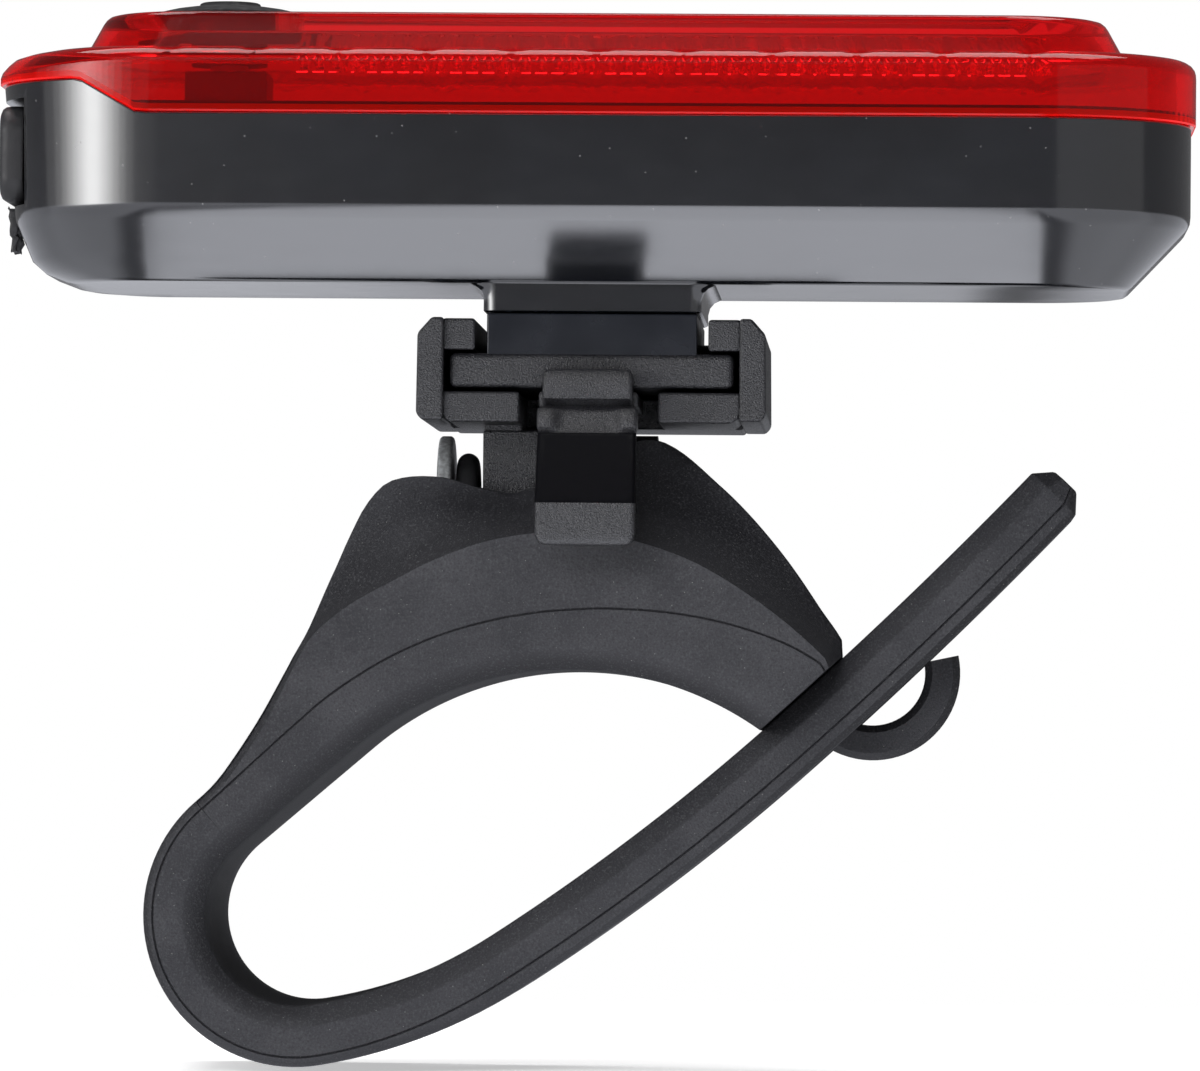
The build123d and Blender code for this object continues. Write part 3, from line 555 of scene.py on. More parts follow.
def make_bracket_plastic():
    """Black plastic with a spark-eroded skin."""
    material, tree, shader, scale = finish_nodes("bracket_plastic", SKIN_LIGHT, SKIN_ROUGH_TO)
    pits = grain(tree, scale, 0.085, 1.5)
    cloud = grain(tree, scale, 2.2, 3.0)
    base = tint(tree, remap(tree, cloud, 0.3, 0.7, 0, 1), SKIN_DARK, SKIN_LIGHT)
    base = overlay(tree, remap(tree, pits, 0.58, 0.75, 0.0, 0.5), base, SKIN_CREST)
    tree.links.new(base, shader.inputs["Base Color"])
    shine = remap(tree, pits, 0.3, 0.7, SKIN_ROUGH_FROM, SKIN_ROUGH_TO)
    tree.links.new(shine, shader.inputs["Roughness"])
    bump(tree, shader, pits, SKIN_HEIGHT_MM, 1.0)
    shader.inputs["Specular IOR Level"].default_value = 0.95
    return material


bracket_plastic = make_bracket_plastic()
print("finish", bracket_plastic.name)

# %% [markdown]
# The lens is clear red plastic. Glass in a renderer casts a black shadow unless it is told to let light
# through, so a see-through red takes over for shadow rays. A little scattering stands for the haze that a
# dyed plastic has, and keeps the red alive where it is thick. Each red also glows faintly: painted light, a
# red glow of its own that stands in for light gathered inside the lens. The lens's lower rim looks milkier
# and brighter, because light gathers in an edge, so it has a second red with more haze and a stronger
# painted glow.

# %% Red lens
LENS_ROUGH, LENS_IOR = 0.05, 1.49
LENS_SHINE = 0.3
LENS_SHADOW = (0.95, 0.16, 0.13)


def make_red_lens(name, color, haze, glow):
    """Clear red plastic that lets light in, scatters a little of it, and glows with painted light."""
    material, tree, shader, scale = finish_nodes(name, color, LENS_ROUGH)
    shader.inputs["Transmission Weight"].default_value = 1.0
    shader.inputs["IOR"].default_value = LENS_IOR
    shader.inputs["Specular IOR Level"].default_value = LENS_SHINE
    # Painted glow: the lens gives off red light of its own, though it is no lamp.
    shader.inputs["Emission Color"].default_value = (*glow, 1)
    shader.inputs["Emission Strength"].default_value = 1.0
    ripple = grain(tree, scale, 1.6, 2.0)
    bump(tree, shader, ripple, 0.02, 0.35)
    out = tree.nodes["Material Output"]
    milk = tree.nodes.new("ShaderNodeBsdfTranslucent")
    milk.inputs["Color"].default_value = (*color, 1)
    clear = tree.nodes.new("ShaderNodeBsdfTransparent")
    clear.inputs["Color"].default_value = (*LENS_SHADOW, 1)
    path = tree.nodes.new("ShaderNodeLightPath")
    body = tree.nodes.new("ShaderNodeMixShader")
    body.inputs[0].default_value = haze
    last = tree.nodes.new("ShaderNodeMixShader")
    link_all(tree, [
        (shader, 0, body, 1),
        (milk, 0, body, 2),
        (path, "Is Shadow Ray", last, 0),
        (body, 0, last, 1),
        (clear, 0, last, 2),
        (last, 0, out, 0),
    ])
    return material


# The last colour of each red is its painted glow, stronger on the rim.
red_lens = make_red_lens("red_lens", (0.60, 0.004, 0.006), 0.10, (0.03, 0.0, 0.0))
red_rim = make_red_lens("red_lens_rim", (0.82, 0.010, 0.01), 0.45, (0.17, 0.003, 0.0))
print("finish", red_lens.name, red_rim.name)

# %% [markdown]
# The small parts share simpler finishes, each with a grain of its own: smooth rubber for the button
# and seals, zinc for the screw and washer, and plain plastics and metal inside the case.

# %% Small finishes
def make_plain(name, color, rough, metal=0.0, lump_mm=0.6, height_mm=0.01, spread=0.12):
    """A simple finish whose colour and shine change a little from place to place."""
    material, tree, shader, scale = finish_nodes(name, color, rough)
    shader.inputs["Metallic"].default_value = metal
    lumps = grain(tree, scale, lump_mm, 3.0)
    dark = tuple(c * (1 - spread) for c in color)
    light = tuple(min(1.0, c * (1 + spread)) for c in color)
    base = tint(tree, remap(tree, lumps, 0.3, 0.7, 0, 1), dark, light)
    tree.links.new(base, shader.inputs["Base Color"])
    shine = remap(tree, lumps, 0.3, 0.7, rough * 0.8, rough * 1.2)
    tree.links.new(shine, shader.inputs["Roughness"])
    bump(tree, shader, lumps, height_mm, 0.6)
    return material


finishes = {
    "red_lens": red_lens,
    "casing_gloss": casing_gloss,
    "bracket_plastic": bracket_plastic,
    "strap_rubber": strap_rubber,
    "button_rubber": make_plain("button_rubber", (0.006, 0.006, 0.007), 0.8, height_mm=0.008),
    "seal_rubber": make_plain("seal_rubber", (0.022, 0.022, 0.024), 0.5, lump_mm=0.3, height_mm=0.02),
    "zinc_steel": make_plain("zinc_steel", (0.66, 0.68, 0.69), 0.42, 0.75, lump_mm=0.25, height_mm=0.03,
                             spread=0.3),
    "core_plastic": make_plain("core_plastic", (0.03, 0.03, 0.032), 0.5),
    "board_green": make_plain("board_green", (0.05, 0.10, 0.06), 0.4, lump_mm=2.0),
    "led_white": make_plain("led_white", (0.90, 0.72, 0.28), 0.25, lump_mm=0.4),
    "chip_black": make_plain("chip_black", (0.02, 0.02, 0.022), 0.4),
    "cell_foil": make_plain("cell_foil", (0.72, 0.73, 0.74), 0.32, 0.9, lump_mm=4.0, height_mm=0.05),
    "pad_foam": make_plain("pad_foam", (0.10, 0.10, 0.10), 0.9, lump_mm=0.3, height_mm=0.1),
    "lead_red": make_plain("lead_red", (0.6, 0.02, 0.02), 0.45),
    "lead_black": make_plain("lead_black", (0.02, 0.02, 0.02), 0.45),
    "socket_steel": make_plain("socket_steel", (0.66, 0.67, 0.68), 0.3, 1.0),
    "plunger_plastic": make_plain("plunger_plastic", (0.7, 0.7, 0.68), 0.4),
}
print("finishes", len(finishes))

# %% [markdown]
# Machined and moulded edges are never razor sharp, and it is the thin bright line along them that makes a
# part look solid. The frame's own parts keep their shape and get the finish of their slot. On the washer,
# the screw, the switch and the socket, modifiers also join their triangles, merge the flat ones, and round
# each corner by a fraction of a millimetre.

# %% Dress the frame's own parts
EDGE_MM = {
    "tilt_washer": 0.08,
    "tilt_screw": 0.1,
    "tact_switch": 0.15,
    "usb_socket": 0.1,
}
WELD_MM = 0.002
FLAT_DEG = 1.0
EDGE_DEG = 35


def round_edges(piece, width_mm):
    """Rounds the sharp edges of a frame part with modifiers."""
    weld = piece.modifiers.new("join", "WELD")
    weld.merge_threshold = WELD_MM * MM
    flat = piece.modifiers.new("flat_faces", "DECIMATE")
    flat.decimate_type = "DISSOLVE"
    flat.angle_limit = math.radians(FLAT_DEG)
    edge = piece.modifiers.new("edge", "BEVEL")
    edge.width = width_mm * MM
    edge.segments = 3
    edge.limit_method = "ANGLE"
    edge.angle_limit = math.radians(EDGE_DEG)
    edge.harden_normals = True


def dress_node(row):
    """Gives a node the finish of its slot."""
    piece = frame["nodes"][row["node"]]
    piece.data.materials.clear()
    piece.data.materials.append(finishes[row["material_slot"]])
    if row["node"] in EDGE_MM:
        round_edges(piece, EDGE_MM[row["node"]])


for row in frame["record"]["subparts"]:
    dress_node(row)

# %% [markdown]
# Shells and straps are easiest to build as rings: the same number of points on each ring, and quads between
# one ring and the next. These helpers turn rings into a closed mesh, give it a finish and hang it on a body
# of the lamp.
# Doubled points are merged, and an edge stays sharp where its faces turn by more than SMOOTH_DEG.

# %% Helpers for ring-built pieces
SMOOTH_DEG = 38


def smooth_step(share):
    """0 to 1 with soft ends."""
    t = min(1.0, max(0.0, share))
    return t * t * (3 - 2 * t)


def ring_faces(ring_count, size, wrap=False):
    """Quads between rings of the same size, and from the last ring to the first when they wrap."""
    faces = []
    for r in range(ring_count if wrap else ring_count - 1):
        a, b = r * size, ((r + 1) % ring_count) * size
        for i in range(size):
            j = (i + 1) % size
            faces.append((a + i, a + j, b + j, b + i))
    return faces


def tidy_mesh(piece):
    """Merges doubled points, turns the faces outwards and marks the sharp edges."""
    bm = bmesh.new()
    bm.from_mesh(piece.data)
    bmesh.ops.remove_doubles(bm, verts=bm.verts, dist=WELD_MM * MM)
    bmesh.ops.recalc_face_normals(bm, faces=bm.faces)
    bm.to_mesh(piece.data)
    bm.free()
    piece.data.shade_smooth()
    piece.data.set_sharp_from_angle(angle=math.radians(SMOOTH_DEG))


def plain_solid(name, rings, wrap=False):
    """A mesh from rings of drawn points, closed at both ends unless the rings wrap round."""
    size = len(rings[0])
    faces = ring_faces(len(rings), size, wrap)
    if not wrap:
        faces.append(tuple(range(size)))
        faces.append(tuple(range((len(rings) - 1) * size, len(rings) * size)))
    mesh = bpy.data.meshes.new(name)
    mesh.from_pydata([at(*p) for ring in rings for p in ring], [], faces)
    solid = bpy.data.objects.new(name, mesh)
    bpy.context.scene.collection.objects.link(solid)
    tidy_mesh(solid)
    return solid


def build_piece(name, rings, body, slot, wrap=False, replaced=()):
    """A solid with a finish that rides on a body and may replace parts of the frame."""
    piece = plain_solid(name, rings, wrap)
    piece.data.materials.append(finishes[slot])
    if body:
        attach(piece, body)
    if replaced:
        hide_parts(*replaced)
    print(name, "faces", len(piece.data.polygons))
    return piece


def even_normals(piece):
    """Lets broad faces keep their own direction, so that only the narrow edges look round."""
    piece.modifiers.new("even_normals", "WEIGHTED_NORMAL").keep_sharp = True


def cut_away(piece, cutter):
    """Cuts one mesh out of another, leaves a plain mesh and removes the cutter."""
    cut = piece.modifiers.new("cut", "BOOLEAN")
    cut.operation = "DIFFERENCE"
    cut.solver = "EXACT"
    cut.object = cutter
    bpy.context.view_layer.update()
    graph = bpy.context.evaluated_depsgraph_get()
    mesh = bpy.data.meshes.new_from_object(piece.evaluated_get(graph), depsgraph=graph)
    piece.modifiers.clear()
    piece.data = mesh
    bpy.data.objects.remove(cutter)
    tidy_mesh(piece)


print("edges stay sharp above", SMOOTH_DEG, "degrees")

# %% [markdown]
# Seen from above or from the end, most pieces of the lamp are rectangles with rounded corners. One
# helper walks round such an outline. With each point it gives the direction that faces out there, so
# a ring can be drawn in or pushed out evenly. Its long sides hold extra points for ribs and notches.

# %% A rounded outline
def rounded_outline(x0, x1, half_y, corner, corner_steps=22, side_steps=60):
    """Points and outward directions round a rounded rectangle, seen from above."""
    points = []
    centres = [(x1 - corner, half_y - corner, 0), (x0 + corner, half_y - corner, 90),
               (x0 + corner, corner - half_y, 180), (x1 - corner, corner - half_y, 270)]
    for n, (cx, cy, start) in enumerate(centres):
        for step in range(corner_steps + 1):
            a = math.radians(start + 90 * step / corner_steps)
            nx, ny = math.cos(a), math.sin(a)
            points.append((cx + corner * nx, cy + corner * ny, nx, ny))
        if n in (0, 2):
            ny = 1.0 if n == 0 else -1.0
            first_x, side_y = points[-1][:2]
            last_x = x0 + corner if n == 0 else x1 - corner
            for step in range(1, side_steps):
                x = first_x + (last_x - first_x) * step / side_steps
                points.append((x, side_y, 0.0, ny))
    return points


print("points round a plain outline", len(rounded_outline(-1, 1, 1, 0.5)))


# %% [markdown]
# The lens and the case meet along one line: level round most of the lamp, and climbing over the
# collar at the end that holds the charging port. Both pieces ask this function for its height.

# %% The line between lens and case
RIM_Z = 34.5
COLLAR_Z = 36.6
COLLAR_TOP_X = -31.9
COLLAR_FOOT_X = -28.2
HEAD_HALF_X, HEAD_HALF_Y, HEAD_CORNER = 37.6, 14.0, 10.0


def rim_height(x):
    """The height of the line between lens and case at a place along the lamp."""
    share = (COLLAR_FOOT_X - x) / (COLLAR_FOOT_X - COLLAR_TOP_X)
    return RIM_Z + (COLLAR_Z - RIM_Z) * min(1.0, max(0.0, share))


print("rim", rim_height(0), "collar", rim_height(-36))

# %% [markdown]
# The case is a tub with sloped lower sides and a rounder end below the port. Each row of its profile
# says how far the skin is drawn in and how high it lies, once for the sides and once for that end,
# and the rings slide from one to the other with the direction that the wall faces.

# %% Rear case
CASE_INSET = 0.3
CASE_WALL = 1.8
END_SHARPNESS = 1.5
CASE_ROWS = [
    # sides drawn in, their height, end drawn in, its height
    (9.0, 24.2, 9.0, 24.2),
    (4.3, 24.2, 5.6, 24.2),
    (3.95, 24.26, 4.7, 24.24),
    (3.70, 24.42, 4.0, 24.36),
    (2.80, 25.36, 2.7, 24.85),
    (2.0, 26.2, 1.85, 25.6),
    (0.40, 27.88, 1.0, 27.6),
    (0.18, 28.14, 0.85, 27.9),
    (0.05, 28.45, 0.75, 28.2),
    (0.0, 28.9, 0.7, 28.7),
]
INSIDE_ROWS = [(1.8, 30.0), (2.3, 28.6), (5.6, 25.9), (7.4, 25.9)]


def case_outline():
    """The case's widest outline, seen from above."""
    half_x, half_y = HEAD_HALF_X - CASE_INSET, HEAD_HALF_Y - CASE_INSET
    return rounded_outline(-half_x, half_x, half_y, HEAD_CORNER - CASE_INSET)


def case_ring(row):
    """One ring of the case's skin, rounder at the port's end."""
    side_in, side_z, end_in, end_z = row
    ring = []
    for x, y, nx, ny in case_outline():
        share = max(0.0, -nx) ** END_SHARPNESS
        inset = side_in + (end_in - side_in) * share
        z = side_z + (end_z - side_z) * share
        ring.append((x - nx * inset, y - ny * inset, z))
    return ring


def case_rim_ring(inset, drop):
    """A ring that follows the line between lens and case."""
    return [(x - nx * inset, y - ny * inset, rim_height(x) - drop) for x, y, nx, ny in case_outline()]


def make_rear_casing():
    """The tub of the case, as one closed shell."""
    rings = [case_ring(row) for row in CASE_ROWS]
    rings += [case_rim_ring(0.0, 0.2), case_rim_ring(0.05, 0.06), case_rim_ring(0.2, 0.0)]
    rings.append(case_rim_ring(CASE_WALL, 0.0))
    rings += [case_ring((inset, z, inset, z)) for inset, z in INSIDE_ROWS]
    return build_piece("rear_case", rings, None, "casing_gloss", replaced=["rear_casing"])


case = make_rear_casing()

# %% [markdown]
# The charging port sits in a shallow flat at the end, and a foot screwed under the case hangs it on
# the bracket. The flat and the port are cut with rounded blocks. The foot's boss is rings again,
# flared at the top so that it grows out of the floor as a moulded rib does.

# %% Port recess and boss of the case
PORT_FLAT_X = -35.6
BOSS_HALF_X, BOSS_HALF_Y, BOSS_CORNER = 6.8, 9.25, 0.8
SEAM_Z = 22.4
FLOOR_Z = 24.2


def end_block(name, x0, x1, half_y, z0, z1, corner):
    """A block along X with rounded corners, seen from the end."""
    mid = (z0 + z1) / 2
    outline = rounded_outline(-half_y, half_y, (z1 - z0) / 2, corner, 6, 4)
    return plain_solid(name, [[(x, y, mid + z) for y, z, _, _ in outline] for x in (x0, x1)])


def boss_rings():
    """The boss under the case, from its seam up to its flare."""
    rows = [
        (0.25, SEAM_Z),
        (0.0, SEAM_Z + 0.12),
        (0.0, FLOOR_Z - 1.0),
        (-0.12, FLOOR_Z - 0.55),
        (-0.4, FLOOR_Z - 0.22),
        (-0.9, FLOOR_Z + 0.02),
        (-0.9, FLOOR_Z + 0.6),
    ]
    rings = []
    for inset, z in rows:
        outline = rounded_outline(-BOSS_HALF_X, BOSS_HALF_X, BOSS_HALF_Y, BOSS_CORNER, 6, 6)
        rings.append([(x - nx * inset, y - ny * max(inset, 0.0), z) for x, y, nx, ny in outline])
    return rings


cut_away(case, end_block("recess", -45, PORT_FLAT_X, 20.0, 29.0, 35.6, 0.5))
cut_away(case, end_block("port", -45, -30, 5.0, 30.2, 34.1, 0.8))
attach(case, "head")
even_normals(case)
boss = build_piece("case_boss", boss_rings(), "head", "casing_gloss")

# %% [markdown]
# The lens is a thin shell in two steps: a wide lower tier with a bright chamfer, and a raised middle
# with a hole for the button. Small upright ribs on its inner walls spread the light, and the chamfer
# has a row of shallow notches. Both could be bumps in the finish, but the light bends at their sides,
# so they are real: two functions say how far the wall moves at a place along the lamp.

# %% Ribs and notches of the lens
LENS_WALL = 1.2
TIER_ROOF = 0.75
TIER_Z = 38.6
RIDGE_X0, RIDGE_X1, RIDGE_HALF_Y, RIDGE_CORNER = -32.3, 33.2, 9.5, 6.0
RIDGE_SLOPE = 1.4
BUTTON_X, BUTTON_R, BUTTON_GAP = -23.5, 4.65, 0.3
RIB_PITCH, RIB_FIRST_X, RIB_COUNT, RIB_DEPTH = 1.06, -18.0, 44, 0.15
RIB_WIDEN, RIB_SHIFT = 1.6, 0.5
NOTCH_PITCH, NOTCH_FIRST_X, NOTCH_COUNT = 5.33, -26.2, 11
NOTCH_W, NOTCH_DEPTH, NOTCH_SLOPE = 1.5, 0.17, 0.3
SIDE_STEPS = 220
SQUARE_ON = 0.99


def rib_push(x):
    """How far a rib stands in at a place along the lamp."""
    along = (x - RIB_FIRST_X) / RIB_PITCH
    if not -0.5 < along < RIB_COUNT - 0.5:
        return 0.0
    wave = RIB_WIDEN * math.cos(2 * math.pi * along) + RIB_SHIFT
    return RIB_DEPTH * min(1.0, max(0.0, wave))


def notch_push(x):
    """How far a notch is cut into the chamfer at a place along the lamp."""
    along = (x - NOTCH_FIRST_X) / NOTCH_PITCH
    near = round(along)
    if not 0 <= near < NOTCH_COUNT:
        return 0.0
    off = abs(along - near) * NOTCH_PITCH
    return NOTCH_DEPTH * min(1.0, max(0.0, (NOTCH_W / 2 - off) / NOTCH_SLOPE))


print("ribs", RIB_COUNT, "notches", NOTCH_COUNT)

# %% [markdown]
# The lens's rings run up the outside, across the top, down through the hole and back along the
# inside. There are four kinds: the lower tier, its edge over the collar, the raised middle, and the
# hole. All have the same number of points, so the shell closes on itself without a seam.

# %% Rings of the lens
def tier_ring(inset, z, ribbed=False, notch=0.0, end=(0.0, 0.0)):
    """A ring of the lower tier, drawn in and down at the port's end."""
    half_x, half_y, corner = HEAD_HALF_X - inset, HEAD_HALF_Y - inset, HEAD_CORNER - inset
    end_in, end_down = end
    ring = []
    for x, y, nx, ny in rounded_outline(-half_x, half_x, half_y, corner, side_steps=SIDE_STEPS):
        push = rib_push(x) * abs(ny) if ribbed else 0.0
        dip = notch * notch_push(x) * (abs(ny) > SQUARE_ON)
        share = max(0.0, -nx) ** 2
        more = push + end_in * share
        ring.append((x - nx * more, y - ny * (more + dip), z - dip - end_down * share))
    return ring


def tier_rim_ring(inset, rise):
    """A ring near the lens's lower edge, which climbs over the collar."""
    return [(x, y, rim_height(x) + rise) for x, y, _ in tier_ring(inset, 0)]


def ridge_ring(inset, z, ribbed=False):
    """A ring of the raised middle, whose ends slope in."""
    share = min(1.0, max(0.0, (z - TIER_Z) / (LENS_TOP - TIER_Z)))
    drawn_in = RIDGE_SLOPE * share + inset
    outline = rounded_outline(RIDGE_X0 + drawn_in, RIDGE_X1 - drawn_in, RIDGE_HALF_Y - inset,
                              RIDGE_CORNER - inset, side_steps=SIDE_STEPS)
    return [(x, y - ny * (rib_push(x) if ribbed else 0.0), z) for x, y, _, ny in outline]


def hole_ring(radius, z):
    """A ring round the button's hole, point for point with the rings of the raised middle."""
    ring = []
    for x, y, _ in ridge_ring(0.4, LENS_TOP):
        out = Vector((x - BUTTON_X, y)).normalized()
        ring.append((BUTTON_X + radius * out.x, radius * out.y, z))
    return ring


print("points on a ring", len(tier_ring(0.0, TIER_Z)), len(ridge_ring(0.0, LENS_TOP)))

# %% [markdown]
# Now the rings are listed in order. An edge that should look round gets several rings close together,
# and one that should stay flat gets none in between. The notches start weak on the round edge and
# reach their full depth where the lower tier's top begins.

# %% Red lens cover
HOLE_R = BUTTON_R + BUTTON_GAP
INNER_TOP = LENS_TOP - LENS_WALL
INNER_TIER = TIER_Z - TIER_ROOF


def lens_outside():
    """The lower tier's wall and its round edge."""
    return [
        tier_rim_ring(0.12, 0.0),
        tier_rim_ring(0.0, 0.1),
        tier_rim_ring(0.0, 0.45),
        tier_ring(0.0, 37.5, end=(0.0, 0.45)),
        tier_ring(0.02, 37.78, end=(0.1, 0.4)),
        tier_ring(0.10, 38.04, end=(0.38, 0.25)),
        tier_ring(0.28, 38.28, end=(0.6, 0.15)),
        tier_ring(0.55, 38.46, notch=0.5, end=(1.0, 0.14)),
        tier_ring(0.78, 38.55, notch=1.2, end=(1.9, 0.06)),
        tier_ring(1.1, TIER_Z, notch=1.4, end=(2.9, 0.0)),
        tier_ring(2.4, TIER_Z, notch=1.4, end=(2.9, 0.0)),
    ]


def lens_top():
    """The raised middle's wall, its top and the hole."""
    return [
        ridge_ring(-0.3, TIER_Z),
        ridge_ring(-0.08, TIER_Z + 0.07),
        ridge_ring(0.0, TIER_Z + 0.28),
        ridge_ring(0.0, LENS_TOP - 0.5),
        ridge_ring(0.04, LENS_TOP - 0.25),
        ridge_ring(0.17, LENS_TOP - 0.07),
        ridge_ring(0.42, LENS_TOP),
        hole_ring(HOLE_R + 0.12, LENS_TOP),
        hole_ring(HOLE_R, LENS_TOP - 0.12),
        hole_ring(HOLE_R, INNER_TOP),
    ]


def lens_inside():
    """The inner walls, each with a band of ribs."""
    return [
        ridge_ring(LENS_WALL + 0.3, INNER_TOP),
        ridge_ring(LENS_WALL, INNER_TOP - 0.15),
        ridge_ring(LENS_WALL, TIER_Z + 1.05),
        ridge_ring(LENS_WALL, TIER_Z + 0.95, True),
        ridge_ring(LENS_WALL, TIER_Z + 0.05, True),
        ridge_ring(LENS_WALL, TIER_Z - 0.05),
        ridge_ring(LENS_WALL, INNER_TIER),
        tier_ring(LENS_WALL + 0.2, INNER_TIER),
        tier_ring(LENS_WALL, INNER_TIER - 0.12, True),
        tier_ring(LENS_WALL, TIER_Z - 1.55, True),
        tier_ring(LENS_WALL, TIER_Z - 1.65),
        tier_rim_ring(LENS_WALL, 0.0),
    ]


lens_rings = lens_outside() + lens_top() + lens_inside()
lens = build_piece("lens", lens_rings, "head", "red_lens", wrap=True, replaced=["lens_cover"])

# %% [markdown]
# The lens's lower rim is brighter than the rest: its second finish has more haze and a stronger painted
# glow. The same mesh can carry two finishes: each face has a number that says which one, so the faces of
# the rim's wall get the second. The faces that look straight up or down stay as they were.

# %% Bright rim of the lens
RIM_BAND = 0.4
LEVEL_FACE = 0.9


def paint_rim(piece, rim):
    """Gives the lens's lower edge a second finish, which is brighter by more haze and a stronger painted
    glow.
    """
    piece.data.materials.append(rim)
    for face in piece.data.polygons:
        drawn_x = (face.center.x - LAMP_X) / MM
        drawn_z = (face.center.z - LAMP_Z) / MM
        if drawn_z < rim_height(drawn_x) + RIM_BAND and abs(face.normal.z) < LEVEL_FACE:
            face.material_index = 1


paint_rim(lens, red_rim)
print("rim faces", sum(face.material_index for face in lens.data.polygons))

# %% [markdown]
# The button is a low rubber dome with a small round pad on top. It is turned from a profile, and the
# dome's edge tucks into the hole of the lens.

# %% Mode button
BUTTON_ROWS = [
    # radius, height
    (2.4, 38.3), (2.4, 39.0), (6.0, 39.0), (6.0, 39.6), (4.65, 39.6), (4.65, 41.45), (4.6, 41.6),
    (4.35, 41.74), (3.6, 41.92), (2.7, 42.06), (2.05, 42.13), (1.95, 42.2), (1.9, 42.32), (1.78, 42.38),
    (1.2, 42.39),
]


def turned_rings(rows, cx, steps=64):
    """Rings of a turned piece about an upright axis."""
    rings = []
    for radius, z in rows:
        ring = []
        for step in range(steps):
            a = 2 * math.pi * step / steps
            ring.append((cx + radius * math.cos(a), radius * math.sin(a), z))
        rings.append(ring)
    return rings


build_piece("button_dome", turned_rings(BUTTON_ROWS, BUTTON_X), "button", "button_rubber",
            replaced=["mode_button"])

# %% [markdown]
# The clamp's parts are blocks and bars of moulded plastic. A helper draws each outline once, pulls it
# to a solid along one axis, and a bevel rounds its edges the way a mould does. Blocks that overlap
# may stay apart inside one mesh, because the eye only sees their outsides.

# %% Blocks and bars
def prism(outline, axis, low, high):
    """Corners and faces of an outline pulled along X or Y."""
    def place(a, b, along):
        return (a, along, b) if axis == "y" else (along, a, b)
    points = [place(a, b, along) for along in (low, high) for a, b in outline]
    n = len(outline)
    faces = [(i, (i + 1) % n, n + (i + 1) % n, n + i) for i in range(n)]
    return points, faces + [tuple(range(n)), tuple(range(n, 2 * n))]


def box_outline(a0, a1, b0, b1):
    """Four corners of a plain block's outline."""
    return [(a0, b0), (a1, b0), (a1, b1), (a0, b1)]


print("a plain block has", len(prism(box_outline(0, 1, 0, 1), "y", 0, 1)[1]), "faces")

# %% [markdown]
# The next helper puts several prisms into one mesh and bevels every edge that turns by more than
# BEVEL_OVER_DEG. A round column keeps its smooth side that way, since its facets turn by less.

# %% A helper for moulded pieces
BEVEL_OVER_DEG = 25
BEVEL_SEGMENTS = 3


def moulded(name, solids, body, slot, edge_mm, replaced=()):
    """One mesh from several overlapping prisms, each with rounded edges."""
    mesh = bpy.data.meshes.new(name)
    points, faces = [], []
    for more_points, more_faces in solids:
        start = len(points)
        points += [at(*p) for p in more_points]
        faces += [tuple(start + i for i in face) for face in more_faces]
    mesh.from_pydata(points, [], faces)
    mesh.materials.append(finishes[slot])
    piece = bpy.data.objects.new(name, mesh)
    bpy.context.scene.collection.objects.link(piece)
    bm = bmesh.new()
    bm.from_mesh(mesh)
    bmesh.ops.recalc_face_normals(bm, faces=bm.faces)
    sharp = [e for e in bm.edges if e.calc_face_angle(0) > math.radians(BEVEL_OVER_DEG)]
    bmesh.ops.bevel(bm, geom=sharp, offset=edge_mm * MM, segments=BEVEL_SEGMENTS, profile=0.5,
                    affect="EDGES", clamp_overlap=True)
    bm.to_mesh(mesh)
    bm.free()
    mesh.shade_smooth()
    mesh.set_sharp_from_angle(angle=math.radians(SMOOTH_DEG))
    even_normals(piece)
    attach(piece, body)
    if replaced:
        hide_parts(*replaced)
    print(name, "faces", len(mesh.polygons))
    return piece


print("bevels of", BEVEL_SEGMENTS, "segments")

# %% [markdown]
# The bracket is a channel: two proud walls, with the lips and the floor set back a little between
# them, a slot for the sprung tongue, and a round-ended column that turns on the screw. Most of it is
# plain bars along the lamp's depth, so each piece is an outline seen from the front. The column is
# round seen from the side. Its top is cut lower at the front, where the tongue swings over it.

# %% Outlines of the bracket
BRACKET_X, BRACKET_Y, BRACKET_Z0, BRACKET_Z1 = 10.9, 10.0, 15.55, 22.05
WALL_IN, LIP_IN, LIP_Z, PLATE_Z = 9.2, 7.25, 20.05, 17.45
SET_BACK = 0.4
TONGUE_X, SLOT_HALF = -0.15, 4.3
COLUMN_R, COLUMN_Z = 4.4, 10.5
COLUMN_STEP_Y, COLUMN_RELIEF, COLUMN_SINK = 1.2, 0.3, 0.6


def wall_outline(side):
    """A wall of the channel seen from the front, with its outer corners cut off."""
    points = [
        (WALL_IN, BRACKET_Z0 + 0.1),
        (BRACKET_X - 0.35, BRACKET_Z0 + 0.1),
        (BRACKET_X, BRACKET_Z0 + 0.5),
        (BRACKET_X - 0.06, BRACKET_Z1 - 1.0),
        (BRACKET_X - 0.95, BRACKET_Z1),
        (WALL_IN, BRACKET_Z1),
    ]
    return [(side * x, z) for x, z in points]


def column_outline():
    """The column seen from the side, round below and cut lower where the tongue swings over it."""
    outline = []
    for deg in range(180, 361, 10):
        a = math.radians(deg)
        outline.append((COLUMN_R * math.cos(a), COLUMN_Z + COLUMN_R * math.sin(a)))
    sunk, low = BRACKET_Z0 + COLUMN_SINK, BRACKET_Z0 - COLUMN_RELIEF
    return outline + [(COLUMN_R, sunk), (COLUMN_STEP_Y, sunk), (COLUMN_STEP_Y, low), (-COLUMN_R, low)]


print("column", len(column_outline()), "points, wall", len(wall_outline(1)), "points")

# %% [markdown]
# The outlines become bars of the right depth, and the bars become one mesh. Bars overlap by a tenth
# of a millimetre, so that no gap shows between them. The strip of the column at the left reaches up
# beside the slot into the floor, which joins the two at the front as well.

